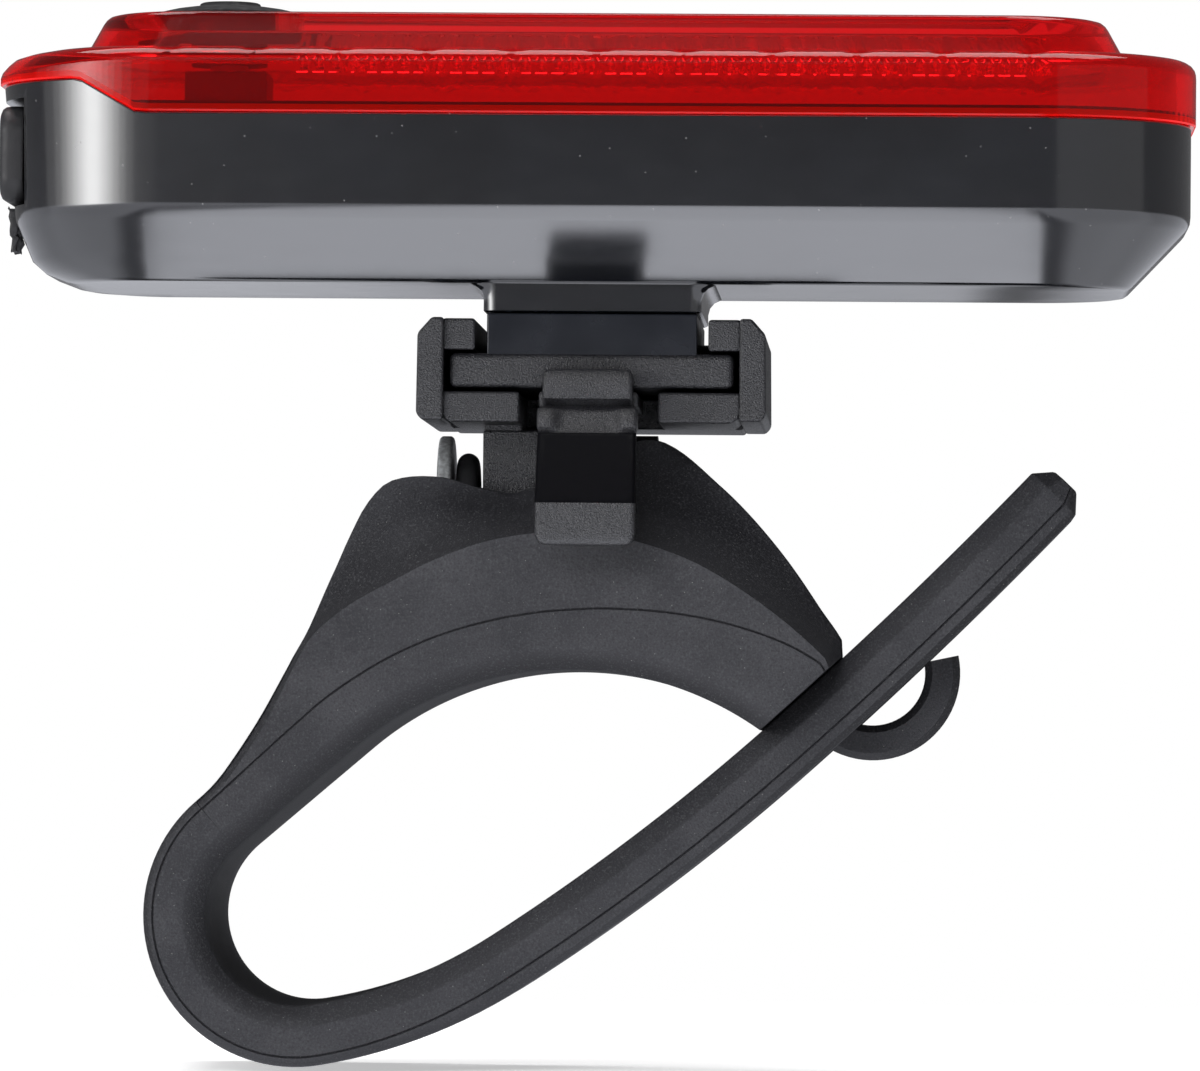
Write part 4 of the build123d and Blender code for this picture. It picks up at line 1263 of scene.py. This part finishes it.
# %% Bracket
front, back = SET_BACK - BRACKET_Y, BRACKET_Y - 0.3
left_slot, right_slot = TONGUE_X - SLOT_HALF, TONGUE_X + SLOT_HALF
deep = WALL_IN + 0.1
lip_top = BRACKET_Z1 - 0.05
end_half, end_z0, end_z1 = BRACKET_X - 0.7, BRACKET_Z0 + 0.7, BRACKET_Z1 - 0.7
floor_left = [
    (-deep, BRACKET_Z0 + 0.45),
    (-deep + 0.5, BRACKET_Z0),
    (left_slot, BRACKET_Z0),
    (left_slot, PLATE_Z),
    (-deep, PLATE_Z),
]
floor_right = [
    (right_slot, BRACKET_Z0),
    (deep - 0.5, BRACKET_Z0),
    (deep, BRACKET_Z0 + 0.45),
    (deep, PLATE_Z),
    (right_slot, PLATE_Z),
]
bracket_solids = [
    prism(wall_outline(-1), "y", -BRACKET_Y, BRACKET_Y),
    prism(wall_outline(1), "y", -BRACKET_Y, BRACKET_Y),
    prism(box_outline(-deep, -LIP_IN, LIP_Z, lip_top), "y", front, back),
    prism(box_outline(LIP_IN, deep, LIP_Z, lip_top), "y", front, back),
    prism(floor_left, "y", front, 1.0),
    prism(floor_right, "y", front, 1.0),
    prism(box_outline(-deep, deep, BRACKET_Z0, PLATE_Z), "y", 0.8, back),
    prism(box_outline(-end_half, end_half, end_z0, end_z1), "y", 9.6, 10.8),
    prism(column_outline(), "x", -6.97, -0.85),
    prism(box_outline(-4.3, 1.5, 12.0, BRACKET_Z0 + COLUMN_SINK), "x", -6.9, left_slot - 0.05),
]
moulded("bracket_body", bracket_solids, "bracket", "bracket_plastic", 0.2, replaced=["bracket"])

# %% [markdown]
# Under the lamp a foot slides into the channel. Its stem is polished like the case, and its broad
# plate carries the spark-eroded skin, so they are two pieces that touch.

# %% Foot
STEM_HALF_X, STEM_HALF_Y, STEM_Z0, STEM_GAP = 6.55, 9.2, 19.6, 0.06
FOOT_HALF_X, FOOT_HALF_Y, FOOT_Z0, FOOT_Z1 = 8.85, 9.4, 17.7, 19.85

stem_outline = box_outline(-STEM_HALF_X, STEM_HALF_X, STEM_Z0, SEAM_Z - STEM_GAP)
stem = prism(stem_outline, "y", -STEM_HALF_Y, STEM_HALF_Y)
foot_stem = moulded("foot_stem", [stem], "head", "casing_gloss", 0.12, replaced=["clip_foot"])
foot_stem.data.materials[0] = make_plain("stem_gloss", (0.009, 0.0105, 0.015), 0.25, lump_mm=3.0)
plate = prism(box_outline(-FOOT_HALF_X, FOOT_HALF_X, FOOT_Z0, FOOT_Z1), "y", -FOOT_HALF_Y, FOOT_HALF_Y)
moulded("foot_plate", [plate], "head", "bracket_plastic", 0.4)

# %% [markdown]
# The rider presses a tongue to free the lamp. From the front it is a small block with a rounded top,
# a ledge with a scooped middle that takes the fingertip, and a lever that slopes forward and ends in
# a rough facet. It is made of level rings: each row gives a height, a front, a back and a half width.
# The lever's face lies in the shade under the lamp, so its faces get a second, near-black finish by their
# height: painted shade, also smoother and with little shine. A flat arm leads back from the block to the
# bracket, where it bends.

# %% Release tongue
TONGUE_ROWS = [
    # height, front, back, half width, scoop
    (18.80, -11.25, -10.05, 2.35, 0.0),
    (18.74, -11.60, -9.85, 2.60, 0.0),
    (18.50, -11.88, -9.75, 2.76, 0.0),
    (18.20, -12.00, -9.75, 2.80, 0.0),
    (17.25, -12.02, -9.75, 2.80, 0.0),
    (16.95, -11.90, -9.75, 2.80, 0.0),
    (16.70, -11.45, -9.75, 2.78, 0.0),
    (16.52, -11.20, -9.75, 2.80, 0.0),
    (16.40, -11.60, -9.75, 3.00, 0.25),
    (16.28, -12.25, -9.75, 3.08, 0.6),
    (16.05, -12.50, -9.75, 3.10, 0.7),
    (15.45, -12.62, -9.75, 3.10, 0.7),
    (15.15, -12.58, -9.75, 3.10, 0.5),
    (15.00, -12.40, -9.80, 3.06, 0.2),
    (14.88, -12.30, -10.6, 3.00, 0.0),
    (14.80, -12.48, -10.95, 3.04, 0.0),
    (14.60, -12.66, -11.1, 3.05, 0.0),
    (12.50, -13.75, -12.2, 3.08, 0.0),
    (10.60, -14.68, -13.15, 3.10, 0.0),
    (10.40, -14.76, -13.25, 3.10, 0.0),
    (10.20, -14.78, -13.3, 3.10, 0.0),
    (8.60, -14.74, -13.3, 3.10, 0.0),
    (8.20, -14.70, -13.3, 3.02, 0.0),
    (7.95, -14.62, -13.3, 2.85, 0.0),
    (7.84, -14.48, -13.35, 2.60, 0.0),
    (7.80, -14.25, -13.5, 2.35, 0.0),
]
LEVER_ROW, FACET_ROW = 15, 19
TONGUE_CORNER = 0.32
SCOOP_HALF, SCOOP_SLOPE = 2.3, 0.8
LEVER_SHINE = 0.08
ARM_HALF = 3.1


def tongue_ring(z, y_front, y_back, half_x, scoop):
    """A level ring of the tongue, pushed in at the middle of its front by the scoop."""
    mid, half_y = (y_front + y_back) / 2, (y_back - y_front) / 2
    ring = []
    for x, y, _, ny in rounded_outline(-half_x, half_x, half_y, TONGUE_CORNER, 5, 24):
        dent = scoop * smooth_step((SCOOP_HALF - abs(x)) / SCOOP_SLOPE) if ny < -SQUARE_ON else 0.0
        ring.append((TONGUE_X + x, mid + y + dent, z))
    return ring


def make_lever_painted_shade():
    """The lever's smooth face, near black: painted shade for the shade it lies in."""
    plastic = make_plain("lever_painted_shade", (0.0018, 0.0018, 0.0028), 0.5, lump_mm=0.5, height_mm=0.01)
    shader = plastic.node_tree.nodes["Principled BSDF"]
    shader.inputs["Specular IOR Level"].default_value = LEVER_SHINE
    return plastic


tongue = build_piece("tongue", [tongue_ring(*row) for row in TONGUE_ROWS], None, "bracket_plastic",
                     replaced=["release_tongue"])
# Painted shade: the lever's faces between the ledge and the facet get the near-black finish.
tongue.data.materials.append(make_lever_painted_shade())
lever_top, facet_top = TONGUE_ROWS[LEVER_ROW][0], TONGUE_ROWS[FACET_ROW][0]
for face in tongue.data.polygons:
    drawn_z = (face.center.z - LAMP_Z) / MM
    face.material_index = int(facet_top < drawn_z < lever_top)
even_normals(tongue)
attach(tongue, "tongue")
arm = prism(box_outline(-10.2, 0.6, 16.4, PLATE_Z), "x", TONGUE_X - ARM_HALF, TONGUE_X + ARM_HALF)
moulded("tongue_arm", [arm], "tongue", "bracket_plastic", 0.25)

# %% [markdown]
# A rubber flap closes the charging port. It is a soft cushion with a plug behind it, and a thin torn
# tether below holds it to the case. Upright rings along the lamp make the flap: the first are drawn
# in, which rounds the cushion, and the last two are the plug.

# %% Port cover
COVER_ROWS = [
    # place along the lamp, drawn in
    (-37.35, 0.75), (-37.33, 0.45), (-37.22, 0.2), (-37.0, 0.05), (-36.7, 0.0), (-36.0, 0.0), (-35.85, 0.1),
]
PLUG_FROM, PLUG_TO = -35.84, -34.95


def cover_ring(x, inset, half_y=7.6, z0=29.25, z1=35.3, corner=1.6):
    """An upright ring of the flap or of its plug."""
    mid = (z0 + z1) / 2
    outline = rounded_outline(inset - half_y, half_y - inset, (z1 - z0) / 2 - inset, corner - inset, 8, 6)
    return [(x, y, mid + z) for y, z, _, _ in outline]


cover_rings = [cover_ring(x, inset) for x, inset in COVER_ROWS]
cover_rings += [cover_ring(x, 0.0, 4.7, 30.5, 33.8, 0.7) for x in (PLUG_FROM, PLUG_TO)]
cover = build_piece("port_flap", cover_rings, "port_cover", "seal_rubber", replaced=["usb_cover"])
even_normals(cover)

# %% [markdown]
# The tether's lower end is torn, so nothing about it is straight. Waves of different lengths move its
# rings a little, and they never come round at the same place. The frame's own tether says where it
# begins and ends.

# %% Tether
tether_low, tether_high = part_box("usb_cover_tether")
TETHER_RINGS = 9
TETHER_HALF, TETHER_NARROWS, TETHER_THINS = 2.5, 0.9, 0.45
RAGGED_WIDTH, RAGGED_LEAN, RAGGED_HEIGHT, RAGGED_STEP = 0.18, 0.12, 0.12, 0.05


def tether_ring(n):
    """A level ring of the tether, narrower and more ragged towards its lower end."""
    share = n / (TETHER_RINGS - 1)
    x0 = (tether_low.x - LAMP_X) / MM
    x1 = (tether_high.x - LAMP_X) / MM
    z = (tether_high.z - LAMP_Z) / MM - share * (tether_high.z - tether_low.z) / MM
    half_y = TETHER_HALF - TETHER_NARROWS * share + RAGGED_WIDTH * math.sin(5.1 * n)
    mid = (x0 + x1) / 2 + RAGGED_LEAN * math.sin(2.3 * n) * share
    half = (x1 - x0) / 2 * (1 - TETHER_THINS * share) - RAGGED_STEP * (n % 2)
    ring = []
    for y, u, _, _ in rounded_outline(-half_y, half_y, half, 0.15, 4, 8):
        ring.append((mid + u, y, z + RAGGED_HEIGHT * math.sin(3 * y + n)))
    return ring


build_piece("port_tether", [tether_ring(n) for n in range(TETHER_RINGS)], "head", "seal_rubber",
            replaced=["usb_cover_tether"])

# %% [markdown]
# Strap, bend and saddle are one rubber moulding on the real lamp. Its side view is a chain of arcs,
# so a place on it is a distance along that chain, a height off its middle line and a place across
# its width. The chain starts where the saddle ends and runs round the bend to the free end.

# %% The strap's line
STRAP_T = 3.8
BEND = (-18.2, -15.3)
BEND_FROM_DEG = 131.0
TURNS = [
    # radius, degrees turned
    (7.5, 148.6),
    (31.4, 23.7),
    (143.0, 8.7),
    (300.0, 4.41),
]


def strap_arcs():
    """Arcs that meet in line, as (centre x, centre z, radius, first angle, first run)."""
    arcs = []
    (cx, cz), angle, radius, run = BEND, BEND_FROM_DEG, TURNS[0][0], 0.0
    for new_radius, turn in TURNS:
        cx += (radius - new_radius) * math.cos(math.radians(angle))
        cz += (radius - new_radius) * math.sin(math.radians(angle))
        radius = new_radius
        arcs.append((cx, cz, radius, angle, run))
        run += radius * math.radians(turn)
        angle += turn
    return arcs, run


ARCS, STRAP_END = strap_arcs()
LOOP_END = ARCS[1][-1]
TINY = 1e-9


def strap_point(run, y, lift):
    """A drawn point on the strap: along its line, across its width and outwards from its middle."""
    cx, cz, radius, first_deg, first_run = [arc for arc in ARCS if arc[-1] <= run + TINY][-1]
    angle = math.radians(first_deg) + (run - first_run) / radius
    reach = radius + lift
    return (cx + reach * math.cos(angle), y, cz + reach * math.sin(angle))


print("bend", round(LOOP_END, 2), "mm, whole strap", round(STRAP_END, 2), "mm")

# %% [markdown]
# The strap's section has a broad bevel towards the seat post and a small one outside, and its sides
# carry the fine line where the mould halves meet. The line sinks towards the middle of the side
# along the tail's first stretch. The section is a list of places that depends on the width and on
# that line only, so the bend and the tail share it and join without a step.

# %% The strap's section
INNER_BEVEL = 1.35
INNER_BEVEL_IN = 1.0
OUTER_BEVEL = 0.5
OUTER_BEVEL_IN = 0.38
LINE_DEPTH, LINE_HALF = 0.11, 0.08
LINE_LIFT, LINE_SINK, LINE_SINKS_OVER = 1.28, 0.38, 14
HALF_WIDE, HALF_ROOT, HALF_TIP = 10.5, 9.0, 7.0


def strap_half_width(run):
    """Half the strap's width: it narrows through the bend and then slowly to its end."""
    if run < LOOP_END:
        return HALF_WIDE + (HALF_ROOT - HALF_WIDE) * smooth_step(run / LOOP_END)
    return HALF_ROOT + (HALF_TIP - HALF_ROOT) * (run - LOOP_END) / (STRAP_END - LOOP_END)


def strap_section(half, line):
    """The right half of the section, from the middle of the inner face to that of the outer face."""
    t = STRAP_T / 2
    inner, outer = half - INNER_BEVEL_IN, half - OUTER_BEVEL_IN
    return [
        (0.0, -t),
        (half * 0.5, -t),
        (inner - 0.15, -t),
        (inner + 0.05, -t + 0.08),
        (half - 0.08, -t + INNER_BEVEL - 0.12),
        (half, -t + INNER_BEVEL + 0.12),
        (half, line - 0.25),
        (half, line - LINE_HALF),
        (half - LINE_DEPTH, line),
        (half, line + LINE_HALF),
        (half - 0.05, t - OUTER_BEVEL + 0.1),
        (outer, t - 0.06),
        (outer - 0.15, t),
        (half * 0.5, t),
        (0.0, t),
    ]


def whole_section(half_section):
    """Both halves of a section as one ring."""
    other = [(-y, lift) for y, lift in reversed(half_section[1:-1])]
    return half_section + other


print("section", len(whole_section(strap_section(HALF_WIDE, LINE_LIFT))), "points")

# %% [markdown]
# The bend is the tight curve below the saddle. A ring is the section put at one place of the strap's line,
# and the bend's rings stand close together, because few rings would show as corners. The bend rides on no
# single body.

# %% Bend of the strap
BEND_STEP, TAIL_STEP = 0.45, 1.0


def strap_ring(run, half=None, thin=0.0):
    """A ring round the strap at one place along it."""
    half = half or strap_half_width(run)
    line = LINE_LIFT - LINE_SINK * smooth_step((run - LOOP_END) / LINE_SINKS_OVER)
    ring = []
    for y, lift in whole_section(strap_section(half, line)):
        ring.append(strap_point(run, y, lift * (1 - thin)))
    return ring


def runs_between(first, last, step):
    """Evenly spread places from first to last."""
    count = max(2, round((last - first) / step))
    return [first + (last - first) * n / count for n in range(count + 1)]


bend_rings = [strap_ring(run) for run in runs_between(0.0, LOOP_END, BEND_STEP)]
loop = build_piece("strap_bend", bend_rings, None, "strap_rubber", replaced=["strap_loop"])

# %% [markdown]
# The tail is the free run of the strap. Its end is cut with small bevels, and three long slots with
# rounded corners drop over the hook. The cutters are bent along the same line as the strap, so their
# flared mouths leave an even bevel round each slot. No ring of a cutter lies exactly on the strap's
# face, because a cut through two faces in one plane can leave stray slivers.

# %% Tail of the strap
SLOT_LEN, SLOT_W, SLOT_CORNER = 13.5, 6.8, 1.2
SLOT_RUNG, SLOT_COUNT, LAST_SLOT_MID = 2.2, 3, 42.15
MOUTH_DEPTH, MOUTH_FLARE = 0.31, 0.29
PAST_DEPTH, PAST_FLARE = 0.6, 0.85
FACE_SHIFT = 0.013
TIP_REACH = 1.15


def tail_rings():
    """The rings of the tail, drawn in at its very end."""
    rings = [strap_ring(run) for run in runs_between(LOOP_END, STRAP_END, TAIL_STEP)]
    half = strap_half_width(STRAP_END)
    bevels = ((0.1, 0.02, 0.05), (TIP_REACH - 0.1, 0.46, 0.55), (TIP_REACH, 0.54, 0.7))
    for reach, thin, narrow in bevels:
        rings.append(strap_ring(STRAP_END + reach, half - narrow, thin))
    return rings


def slot_cutter(mid_run):
    """A cutter for one slot, bent along the strap and flared at both faces."""
    t = STRAP_T / 2
    upper = [(t - MOUTH_DEPTH, 0.0), (t - FACE_SHIFT, MOUTH_FLARE), (t + PAST_DEPTH, PAST_FLARE)]
    lower = [(-lift, grow) for lift, grow in reversed(upper)]
    rings = []
    for lift, grow in lower + upper:
        half_len, half_w = SLOT_LEN / 2 + grow, SLOT_W / 2 + grow
        outline = rounded_outline(-half_len, half_len, half_w, SLOT_CORNER + grow, 5, 14)
        rings.append([strap_point(mid_run + u, y, lift) for u, y, _, _ in outline])
    return plain_solid("slot", rings)


tail = build_piece("strap_end", tail_rings(), None, "strap_rubber", replaced=["strap_tail"])
for n in range(SLOT_COUNT):
    cut_away(tail, slot_cutter(LOOP_END + LAST_SLOT_MID - n * (SLOT_LEN + SLOT_RUNG)))
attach(tail, "tail")
print("tail faces", len(tail.data.polygons))

# %% [markdown]
# The saddle lies on the post along an arch, and then runs straight into the bend. It is built across
# that inner line: each ring stands square on the line and gives the heights of the mould line, the
# soft crease and the hood's top. The heights were measured at the places in these two lists, closer
# together where the hood's outline turns more.

# %% Heights of the saddle
ARCH_X, ARCH_TOP, ARCH_R = -1.1, 0.2, 20.6
HEADING_DEG = 40.6
END_DEG = 39.5
ARCH_ROWS = [
    # degrees from the crown, mould line, crease, top, half width of the top
    (-40.6, 3.50, 6.1, 6.55, 9.3),
    (-35.4, 3.45, 7.1, 7.75, 8.2),
    (-29.4, 3.45, 7.5, 9.95, 7.0),
    (-26.0, 3.45, 7.6, 11.5, 6.4),
    (-22.7, 3.45, 7.7, 13.0, 6.1),
    (-19.6, 3.46, 7.9, 13.75, 6.0),
    (-14.5, 3.48, 8.2, 13.1, 5.8),
    (-10.5, 3.52, 8.4, 11.9, 5.8),
    (-7.0, 3.56, 8.5, 11.3, 5.8),
    (-3.5, 3.63, 8.55, 11.7, 5.6),
    (0.0, 3.7, 8.6, 12.6, 4.4),
    (4.0, 3.85, 8.45, 14.0, 3.5),
    (8.2, 4.0, 8.25, 14.9, 3.1),
    (15.6, 4.4, 7.75, 12.9, 4.4),
    (23.6, 4.9, 7.0, 10.6, 5.7),
    (31.5, 5.4, 6.35, 8.5, 6.4),
    (36.35, 5.55, 6.0, 7.55, 6.9),
    (36.65, 5.5, 5.9, 7.35, 7.0),
    (39.5, 5.0, 5.3, 5.8, 7.5),
]
RUN_ROWS = [
    # millimetres past the arch's left end, and the same four
    (0.0, 3.50, 6.1, 6.55, 9.3),
    (3.6, 3.40, 4.6, 5.15, 9.75),
    (7.2, 3.25, 3.58, 4.08, 10.05),
    (8.6, 3.20, 3.36, 3.84, 10.1),
    (9.70, 3.18, 3.30, 3.8, 10.1),
]


print("rows on the arch", len(ARCH_ROWS), "and past it", len(RUN_ROWS))

# %% [markdown]
# Between two rows the heights follow a smooth curve that leaves each row in the direction of its
# neighbours. Straight lines between the rows would show as facets on the rubber. A second function
# gives the point of the inner line and the direction away from the post.

# %% The curve between the rows
def follow(rows, place):
    """The row's values at a place, on a smooth curve through the rows."""
    n = 0
    while n < len(rows) - 2 and rows[n + 1][0] < place:
        n += 1
    a, b = rows[n], rows[n + 1]
    before, after = rows[max(n - 1, 0)], rows[min(n + 2, len(rows) - 1)]
    t = min(1.0, max(0.0, (place - a[0]) / (b[0] - a[0])))
    values = []
    for k in range(1, len(a)):
        slope_a = (b[k] - before[k]) / (b[0] - before[0]) * (b[0] - a[0])
        slope_b = (after[k] - a[k]) / (after[0] - a[0]) * (b[0] - a[0])
        h = (2 * t**3 - 3 * t**2 + 1) * a[k] + (t**3 - 2 * t**2 + t) * slope_a
        h += (3 * t**2 - 2 * t**3) * b[k] + (t**3 - t**2) * slope_b
        values.append(h)
    return values


def saddle_base(place, on_arch):
    """A point of the inner line and the direction away from the post."""
    a = math.radians(place if on_arch else -HEADING_DEG)
    out_x, out_z = math.sin(a), math.cos(a)
    x = ARCH_X + ARCH_R * out_x
    z = ARCH_TOP - ARCH_R + ARCH_R * out_z
    if not on_arch:
        x -= place * out_z
        z += place * out_x
    return (x, z), (out_x, out_z)


print("crown", saddle_base(0.0, True)[0], "heights there", follow(ARCH_ROWS, 0.0))

# %% [markdown]
# The lower part of the saddle's section is the strap's, with its bevel and mould line. Above the line
# it rises over a soft crease to the hood. The hood's side is slightly hollow: it leans in above the
# crease and grows steeper towards the narrow top. Where the saddle is low, the same list gives almost
# the strap's own section, so the saddle and the bend meet without a step.

# %% Saddle
HOOD_SHARES = (0.12, 0.3, 0.5, 0.7, 0.88)
HOOD_LEAN, HOOD_CLIMB = 0.9, 1.15
ARCH_COUNT = 76
RUN_STEP = 0.6


def saddle_section(line, crease, top, half_top):
    """The right half of the saddle's section, as places across and heights off the inner line."""
    w = HALF_WIDE
    line = min(line, crease - 0.14)
    reach, climb = w - half_top, top - crease
    hood = []
    for share in HOOD_SHARES:
        across = w - 0.15 - (reach - 0.15) * share**HOOD_LEAN
        hood.append((across, crease + 0.12 + (climb - 0.2) * share**HOOD_CLIMB))
    return [
        (0.0, 0.0),
        (w * 0.5, 0.0),
        (w - INNER_BEVEL_IN - 0.15, 0.0),
        (w - INNER_BEVEL_IN + 0.05, 0.08),
        (w - 0.08, INNER_BEVEL - 0.12),
        (w, INNER_BEVEL + 0.12),
        (w, (INNER_BEVEL + line) / 2),
        (w, line - LINE_HALF),
        (w - LINE_DEPTH, line),
        (w, line + LINE_HALF),
        (w - 0.02, crease - 0.02),
        *hood,
        (half_top + 0.15, top - 0.05),
        (half_top - 0.1, top),
        (half_top * 0.5, top + 0.04),
        (0.0, top + 0.05),
    ]


def saddle_ring(place, on_arch):
    """A ring round the saddle at one place."""
    rows = ARCH_ROWS if on_arch else RUN_ROWS
    (x, z), (dx, dz) = saddle_base(place, on_arch)
    ring = []
    for y, height in whole_section(saddle_section(*follow(rows, place))):
        ring.append((x + dx * height, y, z + dz * height))
    return ring


arch_step = (END_DEG + HEADING_DEG) / ARCH_COUNT
arch_rings = [saddle_ring(END_DEG - arch_step * n, True) for n in range(ARCH_COUNT + 1)]
run_places = runs_between(0.0, RUN_ROWS[-1][0], RUN_STEP)[1:]
run_rings = [saddle_ring(place, False) for place in run_places]
saddle = build_piece("saddle", arch_rings + run_rings, None, "strap_rubber", replaced=["strap_saddle"])

# %% [markdown]
# The saddle's top is hollow: the bracket's column turns in it beside a hard core, and the screw goes
# in from the left. Those spaces are cut with plain blocks and bars a little larger than the parts.
# Beside the hook the saddle's end follows the inner face of the tail that lies there, so that stretch
# of the tail's line makes a cutter too, one on each side of the hook.

# %% Cutters for the saddle
TILT_Z = COLUMN_Z
POCKET_X0, POCKET_X1 = -10.1, -0.5
POCKET_R, POCKET_HALF, POCKET_TOP = 4.9, 5.4, 24
EAR_R, EAR_X1 = 4.6, 3.9
SCREW_SPACE_R, SCREW_SPACE_X = 2.3, -12.1
SIDE_FROM, SIDE_TO = 28, 8
SIDE_IN, SIDE_OUT, SIDE_TOP = 2.9, 12.5, 4.5


def bar_x(name, radius, x0, x1, z, steps=40):
    """A round bar along X."""
    rings = []
    for x in (x0, x1):
        ring = []
        for step in range(steps):
            a = 2 * math.pi * step / steps
            ring.append((x, radius * math.cos(a), z + radius * math.sin(a)))
        rings.append(ring)
    return plain_solid(name, rings)


def block(name, x0, x1, y0, y1, z0, z1):
    """A plain block."""
    return plain_solid(name, [[(x, y0, z0), (x, y1, z0), (x, y1, z1), (x, y0, z1)] for x in (x0, x1)])


def tail_side_cutter(side):
    """A solid in the tail's place beside the hook, which gives the saddle's end the tail's line."""
    low = -STRAP_T / 2 - 0.1
    section = [(SIDE_IN, low), (SIDE_OUT, low), (SIDE_OUT, SIDE_TOP), (SIDE_IN, SIDE_TOP)]
    rings = []
    for run in runs_between(STRAP_END - SIDE_FROM, STRAP_END - SIDE_TO, TAIL_STEP):
        rings.append([strap_point(run, side * y, lift) for y, lift in section])
    return plain_solid("tail_side", rings)


pocket_high = block("pocket_high", POCKET_X0, POCKET_X1, -POCKET_HALF, POCKET_HALF, TILT_Z, POCKET_TOP)
for side in (-1, 1):
    cut_away(saddle, tail_side_cutter(side))
cut_away(saddle, bar_x("pocket_low", POCKET_R, POCKET_X0, POCKET_X1, TILT_Z))
cut_away(saddle, pocket_high)
cut_away(saddle, bar_x("ear_low", EAR_R, POCKET_X1 - 0.2, EAR_X1, TILT_Z))
cut_away(saddle, bar_x("head_space", SCREW_SPACE_R, SCREW_SPACE_X, POCKET_X0 + 0.1, TILT_Z))
print("saddle faces", len(saddle.data.polygons))

# %% [markdown]
# The hook grows from the saddle's free end. It is a ring cut open, bevelled along both sides, and
# its tip is cut square. One half of its section is written down and the other half mirrors it. After
# the last cut, the pieces with broad flat faces get even normals, so the faces look flat.

# %% Hook
HOOK_X, HOOK_Z, HOOK_R, HOOK_T, HOOK_HALF = 17.6, 0.2, 3.3, 2.2, 3.0
HOOK_TIP_DEG, HOOK_ROOT_DEG = 12.0, -176.0
HOOK_BEVEL = 0.45
HOOK_STEPS = 40


def hook_ring(deg):
    """A bevelled ring of the hook's section at one angle."""
    a = math.radians(deg)
    r0, r1, h, c = HOOK_R, HOOK_R + HOOK_T, HOOK_HALF, HOOK_BEVEL
    half = [(r0, -h + c), (r0 + c, -h), (r1 - c, -h), (r1, -h + c)]
    section = half + [(r, -y) for r, y in reversed(half)]
    return [(HOOK_X + r * math.cos(a), y, HOOK_Z + r * math.sin(a)) for r, y in section]


hook_turn = (HOOK_ROOT_DEG - HOOK_TIP_DEG) / HOOK_STEPS
hook_rings = [hook_ring(HOOK_TIP_DEG + hook_turn * n) for n in range(HOOK_STEPS + 1)]
hook = build_piece("saddle_hook", hook_rings, "saddle", "strap_rubber")
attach(saddle, "saddle")
for piece in (lens, boss, tail, hook):
    even_normals(piece)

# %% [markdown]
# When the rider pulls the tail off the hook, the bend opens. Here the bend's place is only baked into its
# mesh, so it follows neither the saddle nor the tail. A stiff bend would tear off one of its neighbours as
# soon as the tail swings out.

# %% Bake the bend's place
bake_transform(loop)

# %% [markdown]
# Last, the dressed lamp's box is measured and printed beside the frame's box. A finished model that has
# grown past the box of its working parts would not fit where they fit.

# %% Measure the dressed lamp
new_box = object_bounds()
for name, pair in (("cad", cad_box), ("visual", new_box)):
    print(name, [tuple(round(c / MM, 2) for c in v) for v in pair])
